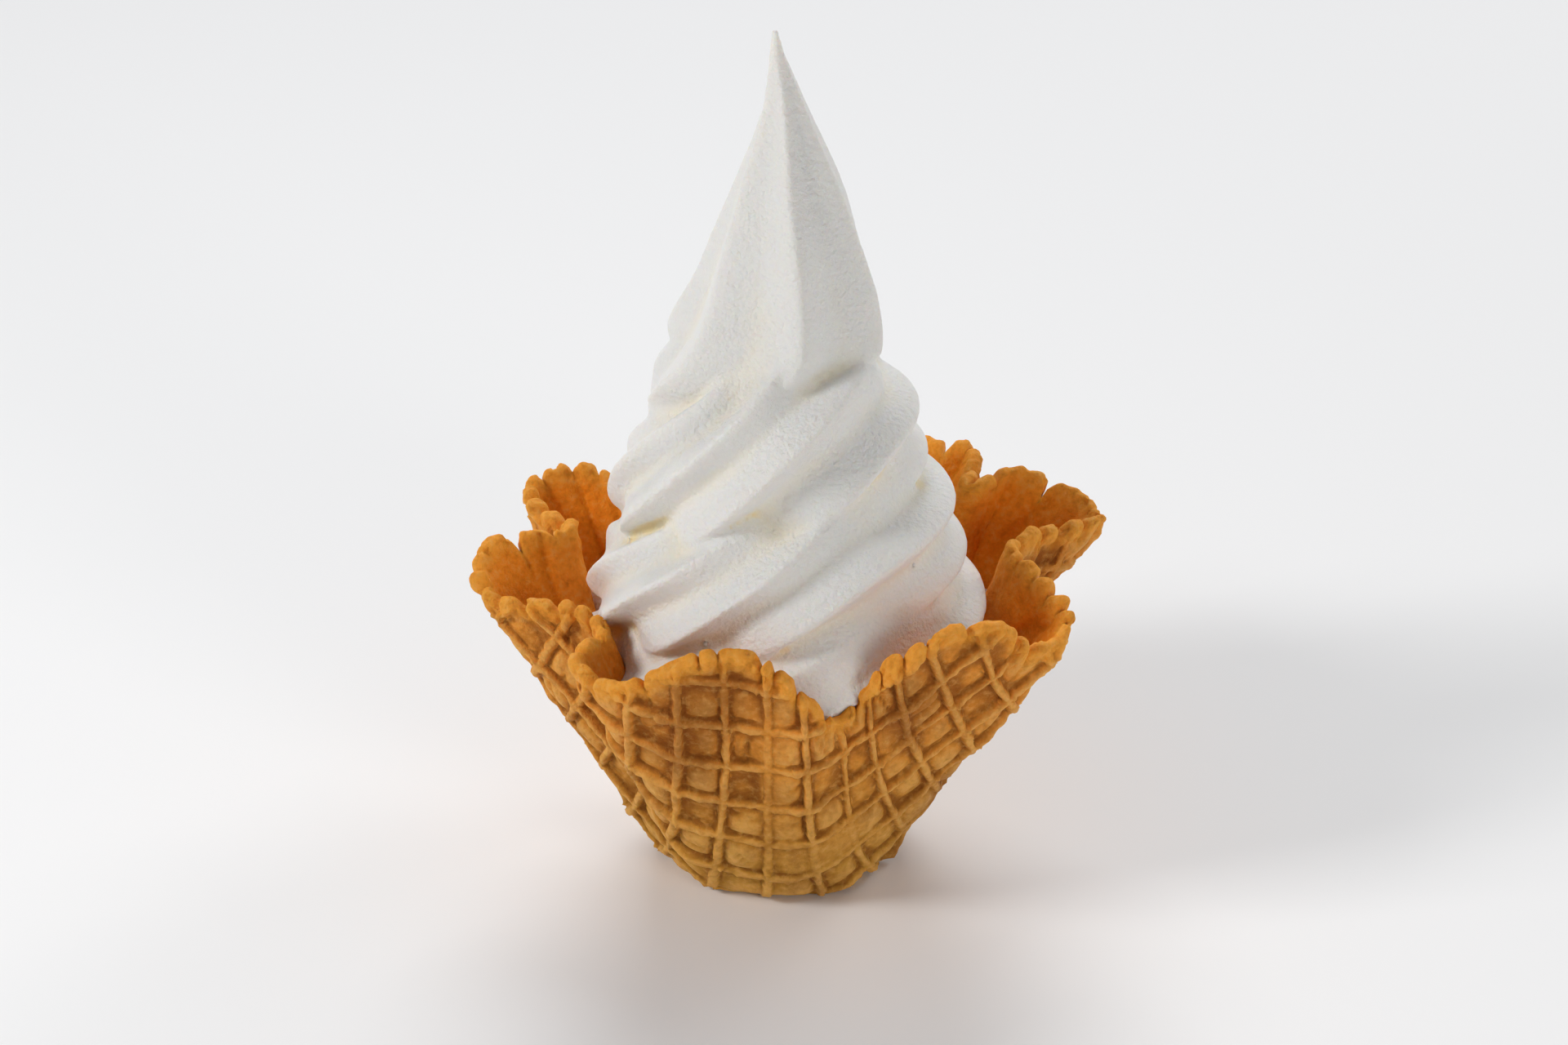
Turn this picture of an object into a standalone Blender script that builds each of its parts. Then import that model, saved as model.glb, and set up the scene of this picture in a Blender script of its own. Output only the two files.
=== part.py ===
"""Soft serve piped in a swirl into a fluted waffle bowl.

The waffle bowl is a flat round waffle pressed into flutes while it was hot, so it is drawn flat first, with
its square grid of ridges, and then every point of the sheet is carried onto the pressed shape. The soft serve
is a rope with six ridges, laid in coils that twist as they climb, and drawn off into a pointed peak.

Metres, +Z up. The origin is the middle of the bowl's flat base, and -Y is the side with the widest petal.
"""

import math
import random

import bmesh
import bpy
import numpy as np
from mathutils import Vector
from mathutils.bvhtree import BVHTree
from mathutils.geometry import delaunay_2d_cdt

MM = 0.001

# Waffle sheet
BASE_RADIUS = 21.5 * MM
SHEET_THICKNESS = 2.7 * MM
BASE_BEND = 4.0 * MM  # half the length of sheet that takes the bend between base and wall
RIM_ROUNDING = 0.8 * MM  # how far the middle of the broken edge stands proud
FLUTE_GROWTH = 0.55  # flutes grow with the slant to the power 1 + FLUTE_GROWTH

# Ridges of the waffle grid, on the outside
GRID_PITCH = 10.7 * MM
GRID_SHIFT = (-2.0 * MM, 2.4 * MM)
RIDGE_HEIGHT = 1.1 * MM
RIDGE_HALF_WIDTH = 1.35 * MM
PILLOW_HEIGHT = 0.45 * MM
RELIEF_START = 19.5 * MM  # the base inside this radius is plain
RELIEF_GROWTH = 5.0 * MM  # length over which the relief grows to its full height

# Lobes of the broken edge: width and depth limits
LOBE_WIDTH = (5.5 * MM, 9.5 * MM)
LOBE_DEPTH = (0.8 * MM, 2.4 * MM)
LOBE_STEPS = 3
LOBE_SEED = 7
LOBE_SETBACK = 0.6  # the lobes' ends lie this share of their depth inside the plain rim

# Spacing of the points of the plain inner face, and the clear strip kept along the edge
INNER_SPACING = 6.4 * MM
EDGE_CLEARANCE = 1.3 * MM

# The pressed rim, anticlockwise seen from above: azimuth in degrees, reach from the axis and height in
# millimetres. Each petal starts at the fold before it.
PETALS = {
    "right": (
        (4, 45, 62), (12, 52.5, 61), (14, 60, 60.5), (17, 65.5, 60), (24, 65.5, 60), (31, 62, 61.5),
        (37, 57, 63)),
    "back right": (
        (37, 48, 62.5), (43, 54, 61.5), (49, 59.5, 61.5), (56, 57.5, 61.5), (65, 60, 61), (75, 58, 61),
        (81, 52, 60)),
    "back": (
        (85, 45, 58), (90, 52, 59), (97, 59, 60), (107, 61, 60), (117, 58, 60), (123, 50, 59)),
    "back left": (
        (128, 42, 58), (133, 49, 61), (138, 55, 61.5), (145, 58, 60.5), (150, 55.5, 59.5), (155, 49, 59)),
    "left": (
        (160, 42.5, 60), (167, 49, 60.5), (172, 55, 60.5), (179, 56.5, 57.5), (185, 53, 55), (191, 46, 56.5),
        (198, 39, 57)),
    "front left": (
        (206, 36, 54.5), (212, 41, 55), (217, 46, 54.5), (227, 46.5, 53), (241, 47, 58.5), (252, 45, 63.5),
        (261, 43, 64), (269, 43, 61), (277, 42.5, 55), (284, 40, 49.5)),
    "front right": (
        (289, 37.5, 47), (294, 38.5, 51), (300, 42, 58.5), (307, 45.5, 63.5), (315, 47, 64),
        (324, 50.5, 62.5), (331, 52.5, 56), (338, 56, 54.5), (344, 56.5, 56.5), (350, 53, 58.5),
        (356, 48, 61)),
}
RIM_SAMPLES_PER_SPAN = 16
FRONT = 270.0
NORMAL_STEP = 0.2 * MM  # distance over which the sheet's normals are measured
POINT_MERGE = 1e-6 * MM
SHARP_ANGLE = math.radians(40.0)

# Soft serve: the rope's middle. Each row is the degrees of turn counted from the right-hand side, the reach
# from the coils' own axis, the height, how far that axis stands back from the bowl's, all three in millimetres,
# and the rope's height as a share of its width.
COIL = (
    (0, 22, 30, 0, 0.86), (180, 21, 40.4, 0, 0.86), (360, 25, 50.8, 0, 0.86), (540, 20.5, 61.3, 1.2, 0.86),
    (680, 20.2, 70, 2.2, 0.92), (720, 20, 72.2, 2.5, 0.92), (900, 16, 81, 3.6, 0.92),
    (990, 14.2, 86.2, 4.1, 1.12), (1080, 12.5, 90.3, 4.5, 0.95), (1260, 8.5, 98.5, 5, 0.9),
    (1350, 5, 103, 5, 0.9),
)
COIL_LEAN = ((0, 2), (360, 3), (720, 4), (990, 7.5), (1080, 5.5), (1350, 2))  # turn, rise of the coil's front
COIL_LEAN_AZIMUTH = 285.0
TURN_START = 60.0
TURN_END = 1350.0
TURN_STEP = 6.0
ROPE_CREST = 15.2 * MM
ROPE_TAIL_TURN = 1255.0
ROPE_TAIL = 0.4  # size of the rope where it ends inside the peak
ROPE_SLUMP = 0.2  # how much further out the rope's foot stands, as a share of the height
RIDGES = 6
RIDGE_DEPTH = 0.29  # of the crest radius
RIDGE_FADE_TURNS = (1140.0, 1230.0)  # the ridges of the last turn run out before the peak's begin
RIDGE_LEFT = 0.15
CREST_ROUNDING = 0.1  # the sine of the angle over which a ridge's crest is blunt
TWIST = (  # turn of the coil and the angle of a ridge round the rope, both in degrees; 0 points straight out
    (60, -620), (280, -319), (311, -298), (365, -272), (400, -250), (554, 14), (570, 44), (600, 92),
    (640, 160), (660, 181), (696, 203), (715, 216), (750, 236), (918, 497), (936, 521), (958, 552),
    (1000, 611), (1020, 634), (1042, 655), (1070, 670), (1105, 688), (1140, 740), (1350, 1060),
)
TWIST_BLEND = 10.0  # the table's corners are rounded over this many degrees each way

# Peak: height, shift of its centre to the right and crest radius in millimetres, ridge azimuth in degrees
PEAK = (
    (79, -2.6, 20.0, 203), (84, -2.6, 20.7, 215), (88, -2.4, 21.6, 225), (92, -2.0, 22.2, 238),
    (97, -1.6, 22.3, 255), (101, -1.2, 22.2, 266), (105, -0.5, 21.6, 277), (109.5, 0.6, 20.2, 282),
    (115.5, 1.8, 18.1, 280), (123.5, 2.3, 15.6, 277), (130.5, 2.5, 13.0, 274), (137.5, 2.4, 10.2, 271),
    (143.5, 2.2, 7.4, 270), (150.5, 1.8, 4.6, 269), (156.5, 1.0, 2.8, 268), (161.5, 0.2, 1.4, 268),
    (165.0, 0.0, 0.4, 268),
)
PEAK_BACK = 5.0 * MM
PEAK_RIDGE_DEPTH = 0.22
PEAK_STEP = 1.5 * MM
SECTION_POINTS = 60

# Soft serve inside the bowl
FILL_TOP = 46.0 * MM
FILL_SHOULDER = 8.0 * MM
FILL_TOP_SHARE = 0.72  # reach of the filling's flat top as a share of the wall's
FILL_LEVELS = 14
WALL_GAP = 1.0 * MM
FLOOR_GAP = 0.5 * MM
REMESH_SIZE = 0.8 * MM
SWIRL_TRIANGLES = 4600

SHEET_COLOUR = (0.60, 0.30, 0.10, 1.0)
CREAM_COLOUR = (0.92, 0.90, 0.85, 1.0)


def clear_scene():
    """Remove every object that the scene holds."""
    for item in list(bpy.data.objects):
        bpy.data.objects.remove(item, do_unlink=True)


def material(name, colour, roughness):
    """A plain Principled material."""
    made = bpy.data.materials.new(name)
    made.use_nodes = True
    shader = made.node_tree.nodes["Principled BSDF"]
    shader.inputs["Base Color"].default_value = colour
    shader.inputs["Roughness"].default_value = roughness
    shader.inputs["Metallic"].default_value = 0.0
    return made


def rim_curve():
    """The rim as a closed smooth curve through the petals' points: positions, and the length up to each as an
    angle of the flat sheet."""
    rows = [row for petal in PETALS.values() for row in petal]
    azimuth = np.radians([row[0] for row in rows])
    reach = np.array([row[1] for row in rows]) * MM
    height = np.array([row[2] for row in rows]) * MM
    knots = np.stack([reach * np.cos(azimuth), reach * np.sin(azimuth), height], axis=1)
    before = np.roll(knots, 1, axis=0)
    after = np.roll(knots, -1, axis=0)
    beyond = np.roll(knots, -2, axis=0)
    points = []
    for step in range(RIM_SAMPLES_PER_SPAN):
        t = step / RIM_SAMPLES_PER_SPAN
        blend = 0.5 * (
            2.0 * knots
            + (after - before) * t
            + (2.0 * before - 5.0 * knots + 4.0 * after - beyond) * t**2
            + (3.0 * knots - before - 3.0 * after + beyond) * t**3)
        points.append(blend)
    curve = np.stack(points, axis=1).reshape(-1, 3)
    closed = np.vstack([curve, curve[:1]])
    length = np.concatenate([[0.0], np.cumsum(np.linalg.norm(np.diff(closed, axis=0), axis=1))])
    return closed, length / length[-1] * 360.0


RIM_POINTS, RIM_SHARE = rim_curve()
RIM_AZIMUTH = np.degrees(np.unwrap(np.arctan2(RIM_POINTS[:, 1], RIM_POINTS[:, 0])))
FLAT_SHIFT = FRONT - np.interp(FRONT, RIM_AZIMUTH, RIM_SHARE)
MEAN_REACH = float(np.mean(np.hypot(RIM_POINTS[:, 0], RIM_POINTS[:, 1])))


def rim_at(flat_angle):
    """The rim's position for angles of the flat sheet, in degrees."""
    share = np.mod(flat_angle - FLAT_SHIFT, 360.0)
    return np.stack([np.interp(share, RIM_SHARE, RIM_POINTS[:, axis]) for axis in range(3)], axis=-1)


def slant_at(flat_angle):
    """Length of the wall from the base's edge to the rim."""
    rim = rim_at(flat_angle)
    angle = np.radians(flat_angle)
    foot = BASE_RADIUS * np.stack([np.cos(angle), np.sin(angle), np.zeros_like(angle)], axis=-1)
    return np.linalg.norm(rim - foot, axis=-1)


def pressed(x, y):
    """Carry points of the flat sheet onto the pressed bowl."""
    flat_radius = np.hypot(x, y)
    angle = np.arctan2(y, x)
    degrees = np.degrees(angle)
    ray = np.stack([np.cos(angle), np.sin(angle)], axis=-1)
    rim = rim_at(degrees)
    slant = slant_at(degrees)
    beyond = flat_radius - BASE_RADIUS
    climb = np.where(beyond > BASE_BEND, beyond, (beyond + BASE_BEND) ** 2 / (4.0 * BASE_BEND))
    climb = np.where(beyond < -BASE_BEND, 0.0, climb)
    share = np.clip(climb / slant, 0.0, None)
    flute = np.clip(share, 0.0, 1.0) ** FLUTE_GROWTH
    reach = MEAN_REACH * ray * (1.0 - flute)[..., None] + rim[..., :2] * flute[..., None]
    base = (flat_radius - climb)[..., None] * ray
    plan = base + share[..., None] * (reach - BASE_RADIUS * ray)
    return np.concatenate([plan, (share * rim[..., 2])[..., None]], axis=-1)


def outward(x, y):
    """Unit normals of the pressed sheet, pointing out of the bowl and down."""
    across = pressed(x + NORMAL_STEP, y) - pressed(x - NORMAL_STEP, y)
    along = pressed(x, y + NORMAL_STEP) - pressed(x, y - NORMAL_STEP)
    normal = np.cross(along, across)
    return normal / np.linalg.norm(normal, axis=-1)[..., None]


def relief(x, y):
    """Height of the outer face above the plain sheet: the ridges, and the puffed cells between them."""
    heights = []
    fade = np.clip((np.hypot(x, y) - RELIEF_START) / RELIEF_GROWTH, 0.0, 1.0)
    cell = np.ones_like(x)
    for value, shift in ((x, GRID_SHIFT[0]), (y, GRID_SHIFT[1])):
        offset = np.mod(value - shift + 0.5 * GRID_PITCH, GRID_PITCH) - 0.5 * GRID_PITCH
        heights.append(RIDGE_HEIGHT * np.clip(1.0 - np.abs(offset) / RIDGE_HALF_WIDTH, 0.0, 1.0))
        inside = (np.abs(offset) - RIDGE_HALF_WIDTH) / (0.5 * GRID_PITCH - RIDGE_HALF_WIDTH)
        cell = cell * np.sin(0.5 * math.pi * np.clip(inside, 0.0, 1.0))
    return fade * np.maximum(np.maximum(heights[0], heights[1]), PILLOW_HEIGHT * cell)


def edge_outline():
    """The broken edge of the flat sheet as points (x, y): lobes of uneven width that meet in cusps."""
    chance = random.Random(LOBE_SEED)
    angle = 0.0
    lobes = []
    while angle < 360.0:
        radius = BASE_RADIUS + float(slant_at(np.array(angle)))
        width = math.degrees(chance.uniform(*LOBE_WIDTH) / radius)
        lobes.append((angle, width, chance.uniform(*LOBE_DEPTH)))
        angle += width
    stretch = 360.0 / angle
    points = []
    for start, width, depth in lobes:
        for step in range(LOBE_STEPS):
            part = step / LOBE_STEPS
            here = (start + width * part) * stretch
            swell = depth * (4.0 * part * (1.0 - part) - LOBE_SETBACK)
            radius = BASE_RADIUS + float(slant_at(np.array(here))) + swell
            turn = math.radians(here)
            points.append((radius * math.cos(turn), radius * math.sin(turn)))
    return np.array(points)


def clear_of_edge(points, outline, clearance):
    """The points that lie inside the outline, at least the clearance away from it."""
    angle = np.arctan2(outline[:, 1], outline[:, 0])
    order = np.argsort(angle)
    limit = np.interp(
        np.arctan2(points[:, 1], points[:, 0]), angle[order], np.hypot(outline[order, 0], outline[order, 1]),
        period=2.0 * math.pi)
    near = np.hypot(points[:, 0], points[:, 1]) < limit - 0.5 * clearance
    points = points[near]
    gaps = np.linalg.norm(points[:, None, :] - outline[None, :, :], axis=2).min(axis=1)
    return points[gaps > clearance]


def lattice_points(reach):
    """Points of the outer face: feet and crest of every ridge, and the middles between."""
    offsets = (0.0, RIDGE_HALF_WIDTH, 0.5 * GRID_PITCH, GRID_PITCH - RIDGE_HALF_WIDTH)
    count = int(reach / GRID_PITCH) + 2
    lines = [
        [shift + GRID_PITCH * line + offset for line in range(-count, count) for offset in offsets]
        for shift in GRID_SHIFT]
    across, along = np.meshgrid(*lines)
    return np.stack([across.ravel(), along.ravel()], axis=1)


def hexagon_points(reach, spacing):
    """Points in staggered rows."""
    row_step = spacing * math.sqrt(0.75)
    rows = int(reach / row_step) + 1
    columns = int(reach / spacing) + 1
    points = [
        (spacing * (column + 0.5 * (row % 2)), row_step * row)
        for row in range(-rows, rows + 1)
        for column in range(-columns, columns + 1)]
    return np.array(points)


def triangulate(outline, inner):
    """Triangles over the outline and the points inside it. The outline's points keep the first places."""
    points = [Vector(point) for point in np.vstack([outline, inner])]
    ring = list(range(len(outline)))
    made = delaunay_2d_cdt(points, [], [ring], 1, POINT_MERGE)
    return np.array([tuple(point) for point in made[0]]), made[2]


def build_bowl(finish):
    """The pressed waffle sheet with its ridges, its plain inside and its rounded broken edge."""
    outline = edge_outline()
    reach = float(np.hypot(outline[:, 0], outline[:, 1]).max())
    outer_inner = clear_of_edge(lattice_points(reach), outline, EDGE_CLEARANCE)
    outer_flat, outer_faces = triangulate(outline, outer_inner)
    inner_inner = clear_of_edge(hexagon_points(reach, INNER_SPACING), outline, 2.0 * EDGE_CLEARANCE)
    inner_flat, inner_faces = triangulate(outline, inner_inner)

    x, y = outer_flat[:, 0], outer_flat[:, 1]
    outer = pressed(x, y) + outward(x, y) * relief(x, y)[:, None]
    x, y = inner_flat[:, 0], inner_flat[:, 1]
    inside = pressed(x, y) - outward(x, y) * SHEET_THICKNESS
    grown = outline * (1.0 + RIM_ROUNDING / np.hypot(outline[:, 0], outline[:, 1]))[:, None]
    x, y = grown[:, 0], grown[:, 1]
    middle = pressed(x, y) - outward(x, y) * 0.5 * SHEET_THICKNESS

    mesh = bmesh.new()
    outer_verts = [mesh.verts.new(point) for point in outer]
    inner_verts = [mesh.verts.new(point) for point in inside]
    middle_verts = [mesh.verts.new(point) for point in middle]
    for face in outer_faces:
        mesh.faces.new([outer_verts[index] for index in reversed(face)])
    for face in inner_faces:
        mesh.faces.new([inner_verts[index] for index in face])
    count = len(outline)
    for here in range(count):
        after = (here + 1) % count
        mesh.faces.new([outer_verts[here], outer_verts[after], middle_verts[after], middle_verts[here]])
        mesh.faces.new([middle_verts[here], middle_verts[after], inner_verts[after], inner_verts[here]])
    bmesh.ops.triangulate(mesh, faces=mesh.faces[:])
    bmesh.ops.recalc_face_normals(mesh, faces=mesh.faces[:])
    return finished("waffle_bowl", mesh, finish)


def finished(name, mesh, finish):
    """Turn a bmesh into a smooth-shaded object with its material."""
    data = bpy.data.meshes.new(name)
    mesh.to_mesh(data)
    mesh.free()
    data.shade_smooth()
    data.set_sharp_from_angle(angle=SHARP_ANGLE)
    data.materials.append(finish)
    made = bpy.data.objects.new(name, data)
    bpy.context.scene.collection.objects.link(made)
    return made


def ridge_profile(angle, depth):
    """Radius of the ridged section, 1 at a crest: narrow crests with broad hollows between them."""
    hollow = np.hypot(np.sin(0.5 * RIDGES * angle), CREST_ROUNDING)
    return 1.0 - depth * np.clip(hollow, 0.0, 1.0)


def rope_section(turn):
    """One ring of the rope at a turn, in degrees."""
    azimuth = math.radians(turn)
    table = np.array(COIL, dtype=float)
    reach, height, back, tallness = (np.interp(turn, table[:, 0], column) for column in table.T[1:])
    lean = np.interp(turn, *np.array(COIL_LEAN, dtype=float).T)
    height += lean * math.cos(math.radians(turn - COIL_LEAN_AZIMUTH))
    size = ROPE_CREST * np.interp(turn, (ROPE_TAIL_TURN, TURN_END), (1.0, ROPE_TAIL))
    depth = RIDGE_DEPTH * np.interp(turn, RIDGE_FADE_TURNS, (1.0, RIDGE_LEFT))
    nearby = np.linspace(turn - TWIST_BLEND, turn + TWIST_BLEND, 9)
    ridge_turn = math.radians(np.interp(nearby, *np.array(TWIST, dtype=float).T).mean())
    section = np.linspace(0.0, 2.0 * math.pi, SECTION_POINTS, endpoint=False)
    radius = size * ridge_profile(section - ridge_turn, depth)
    rise = radius * np.sin(section) * tallness
    outer = reach * MM + radius * np.cos(section) - ROPE_SLUMP * rise
    return np.stack(
        [outer * math.cos(azimuth), outer * math.sin(azimuth) + back * MM, height * MM + rise], axis=1)


def peak_section(height):
    """One level ring of the peak at a height."""
    table = np.array(PEAK, dtype=float)
    shift, crest, ridge = (np.interp(height / MM, table[:, 0], column) for column in table.T[1:])
    section = np.linspace(0.0, 2.0 * math.pi, SECTION_POINTS, endpoint=False)
    radius = crest * MM * ridge_profile(section - math.radians(ridge), PEAK_RIDGE_DEPTH)
    across = shift * MM + radius * np.cos(section)
    along = PEAK_BACK + radius * np.sin(section)
    return np.stack([across, along, np.full_like(section, height)], axis=1)


def wall_reach(tree, azimuth, height):
    """How far the bowl's inner wall is from the axis at an azimuth and a height."""
    start = Vector((0.0, 0.0, height))
    hit = tree.ray_cast(start, Vector((math.cos(azimuth), math.sin(azimuth), 0.0)))
    return hit[3] if hit[0] is not None else None


def fill_sections(tree):
    """Rings of the soft serve that fills the bottom of the bowl."""
    floor = SHEET_THICKNESS + FLOOR_GAP
    section = np.linspace(0.0, 2.0 * math.pi, SECTION_POINTS, endpoint=False)
    rings = []
    for level in range(FILL_LEVELS + 1):
        height = floor + (FILL_TOP - floor) * level / FILL_LEVELS
        below_top = min(1.0, (FILL_TOP - height) / FILL_SHOULDER)
        rounding = math.sqrt(1.0 - (1.0 - below_top) ** 2)
        pull = FILL_TOP_SHARE + (1.0 - FILL_TOP_SHARE) * rounding
        reach = np.array([wall_reach(tree, angle, height) - WALL_GAP for angle in section]) * pull
        level = np.full_like(section, height)
        rings.append(np.stack([reach * np.cos(section), reach * np.sin(section), level], axis=1))
    return rings


def tube(mesh, rings):
    """A closed skin over rings of equal count."""
    layers = [[mesh.verts.new(point) for point in ring] for ring in rings]
    count = len(layers[0])
    for lower, upper in zip(layers, layers[1:]):
        for here in range(count):
            after = (here + 1) % count
            mesh.faces.new([lower[here], lower[after], upper[after], upper[here]])
    mesh.faces.new(list(reversed(layers[0])))
    mesh.faces.new(layers[-1])


def evaluated_copy(item):
    """The object's mesh with its modifiers applied; the object itself is removed."""
    graph = bpy.context.evaluated_depsgraph_get()
    data = bpy.data.meshes.new_from_object(item.evaluated_get(graph))
    bpy.data.objects.remove(item, do_unlink=True)
    return data


def keep_off_wall(mesh, tree):
    """Draw the soft serve in wherever it would come nearer to the bowl than the gap."""
    for vert in mesh.verts:
        vert.co.z = max(vert.co.z, SHEET_THICKNESS + FLOOR_GAP)
        azimuth = math.atan2(vert.co.y, vert.co.x)
        limit = wall_reach(tree, azimuth, vert.co.z)
        if limit is None:
            continue
        reach = math.hypot(vert.co.x, vert.co.y)
        if reach > limit - WALL_GAP:
            vert.co.x *= (limit - WALL_GAP) / reach
            vert.co.y *= (limit - WALL_GAP) / reach


def build_swirl(finish, bowl):
    """Coils, peak and the part inside the bowl, joined into one body."""
    graph = bpy.context.evaluated_depsgraph_get()
    tree = BVHTree.FromObject(bowl, graph)
    turns = np.arange(TURN_START, TURN_END, TURN_STEP)
    heights = np.arange(PEAK[0][0] * MM, PEAK[-1][0] * MM, PEAK_STEP)
    mesh = bmesh.new()
    tube(mesh, [rope_section(turn) for turn in turns])
    tube(mesh, [peak_section(height) for height in heights] + [peak_section(PEAK[-1][0] * MM)])
    tube(mesh, fill_sections(tree))
    bmesh.ops.recalc_face_normals(mesh, faces=mesh.faces[:])
    rough = finished("rough", mesh, finish)
    remesh = rough.modifiers.new("join", "REMESH")
    remesh.mode = "VOXEL"
    remesh.voxel_size = REMESH_SIZE
    joined = evaluated_copy(rough)

    mesh = bmesh.new()
    mesh.from_mesh(joined)
    keep_off_wall(mesh, tree)
    rough = finished("rough", mesh, finish)
    thin = rough.modifiers.new("thin", "DECIMATE")
    thin.ratio = SWIRL_TRIANGLES / (2.0 * len(rough.data.vertices))
    thinned = evaluated_copy(rough)

    mesh = bmesh.new()
    mesh.from_mesh(thinned)
    bmesh.ops.triangulate(mesh, faces=mesh.faces[:])
    keep_off_wall(mesh, tree)
    return finished("soft_serve", mesh, finish)


def main():
    clear_scene()
    bowl = build_bowl(material("baked waffle", SHEET_COLOUR, 0.75))
    build_swirl(material("soft serve", CREAM_COLOUR, 0.45), bowl)


main()
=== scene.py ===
# %% [markdown]
# # Soft serve in a fluted waffle bowl
#
# The dessert is two things. One is a thin round waffle that was pressed into a cup with seven petals
# while it was still hot and soft. The other is a rope of soft serve, piped into the cup in a swirl that
# climbs to a pointed peak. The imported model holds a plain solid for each. This lesson builds both again
# in the same place with their real skin: toasted, crumbly waffle and cool, matt cream.
#
# Everything is in metres, +Z is up, and the origin is the middle of the bowl's flat base.

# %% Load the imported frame
import math
import random

import bpy
import numpy as np
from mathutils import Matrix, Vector
from mathutils.bvhtree import BVHTree
from mathutils.geometry import delaunay_2d_cdt
from mathutils.kdtree import KDTree


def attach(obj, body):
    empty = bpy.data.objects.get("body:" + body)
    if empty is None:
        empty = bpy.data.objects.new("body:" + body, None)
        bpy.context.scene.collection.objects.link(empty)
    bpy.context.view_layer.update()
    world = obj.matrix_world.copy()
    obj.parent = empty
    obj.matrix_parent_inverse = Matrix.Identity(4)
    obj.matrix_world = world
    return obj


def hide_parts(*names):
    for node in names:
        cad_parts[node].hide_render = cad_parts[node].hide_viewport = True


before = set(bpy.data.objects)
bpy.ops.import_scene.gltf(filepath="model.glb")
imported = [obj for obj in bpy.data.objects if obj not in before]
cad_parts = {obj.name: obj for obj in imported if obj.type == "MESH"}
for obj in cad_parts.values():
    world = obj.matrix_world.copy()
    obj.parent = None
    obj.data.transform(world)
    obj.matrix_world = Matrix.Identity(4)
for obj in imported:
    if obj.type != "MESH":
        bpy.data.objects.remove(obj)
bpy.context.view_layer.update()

MM = 0.001


def in_mm(lengths):
    """Lengths in millimetres, short enough to print."""
    return np.round(np.array(lengths) / MM, 2).tolist()


# %% [markdown]
# ## Unevenness that is the same every time
#
# Nothing baked is even. Blender has noise textures for colour, but a shape needs noise as plain numbers:
# one value for each point of a mesh. A small table of random numbers, read between its entries with a
# smooth blend, gives soft hills and hollows of any size. The table comes from a seed, so every run bakes
# the same waffle.

# %% Soft noise
NOISE_TABLE = 64


def soft_noise(places, size, seed):
    """Random values from -1 to 1 that change softly over about the given size."""
    dimensions = places.shape[-1]
    table = np.random.default_rng(seed).uniform(-1.0, 1.0, (NOISE_TABLE,) * dimensions)
    cells = places / size
    corner = np.floor(cells).astype(int)
    part = cells - corner
    part = part * part * (3.0 - 2.0 * part)
    total = np.zeros(places.shape[:-1])
    for step in np.ndindex(*(2,) * dimensions):
        weight = np.prod(np.where(step, part, 1.0 - part), axis=-1)
        entry = (corner + step) % NOISE_TABLE
        total += weight * table[tuple(np.moveaxis(entry, -1, 0))]
    return total


def soft_step(value):
    """0 below 0, 1 above 1, and a smooth S between."""
    share = np.clip(value, 0.0, 1.0)
    return share * share * (3.0 - 2.0 * share)


print("noise at the origin:", soft_noise(np.zeros((1, 2)), MM, 1)[0])

# %% [markdown]
# ## The pressed shape
#
# A baker lays a flat round waffle over a mould, and it folds into petals by itself. Modelling the folded
# cup directly would bend the square grid wrongly, so the waffle stays flat here while it gets its grid
# and its broken edge, and one function carries any point of the flat sheet onto the cup. The rim is a
# smooth curve through a few points for each petal, given as direction, reach and height. Between base and
# rim the wall climbs nearly straight, and the folds grow with its height.

# %% The rim: azimuth in degrees, reach and height in mm
PETALS = {
    "right": (
        (4, 45, 62), (12, 52.5, 61), (14, 60, 60.5), (17, 65.5, 60), (24, 65.5, 60), (31, 62, 61.5),
        (37, 57, 63)),
    "back right": (
        (37, 48, 62.5), (43, 54, 61.5), (49, 59.5, 61.5), (56, 57.5, 61.5), (65, 60, 61), (75, 58, 61),
        (81, 52, 60)),
    "back": (
        (85, 45, 58), (90, 52, 59), (97, 59, 60), (107, 61, 60), (117, 58, 60), (123, 50, 59)),
    "back left": (
        (128, 42, 58), (133, 49, 61), (138, 55, 61.5), (145, 58, 60.5), (150, 55.5, 59.5), (155, 49, 59)),
    "left": (
        (160, 42.5, 60), (167, 49, 60.5), (172, 55, 60.5), (179, 56.5, 57.5), (185, 53, 55),
        (191, 46, 56.5), (198, 39, 57)),
    "front left": (
        (206, 36, 54.5), (212, 41, 55), (217, 46, 54.5), (227, 46.5, 53), (241, 47, 58.5), (252, 45, 63.5),
        (261, 43, 64), (269, 43, 61), (277, 42.5, 55), (284, 40, 49.5)),
    "front right": (
        (289, 37.5, 47), (294, 38.5, 51), (300, 42, 58.5), (307, 45.5, 63.5), (315, 47, 64),
        (324, 50.5, 62.5), (331, 52.5, 56), (338, 56, 54.5), (344, 56.5, 56.5), (350, 53, 58.5),
        (356, 48, 61)),
}
RIM_SAMPLES = 16
FRONT = 270.0


def rays(angle):
    """Directions in the plane, of length 1, for angles in radians."""
    return np.stack([np.cos(angle), np.sin(angle)], axis=-1)


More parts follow.
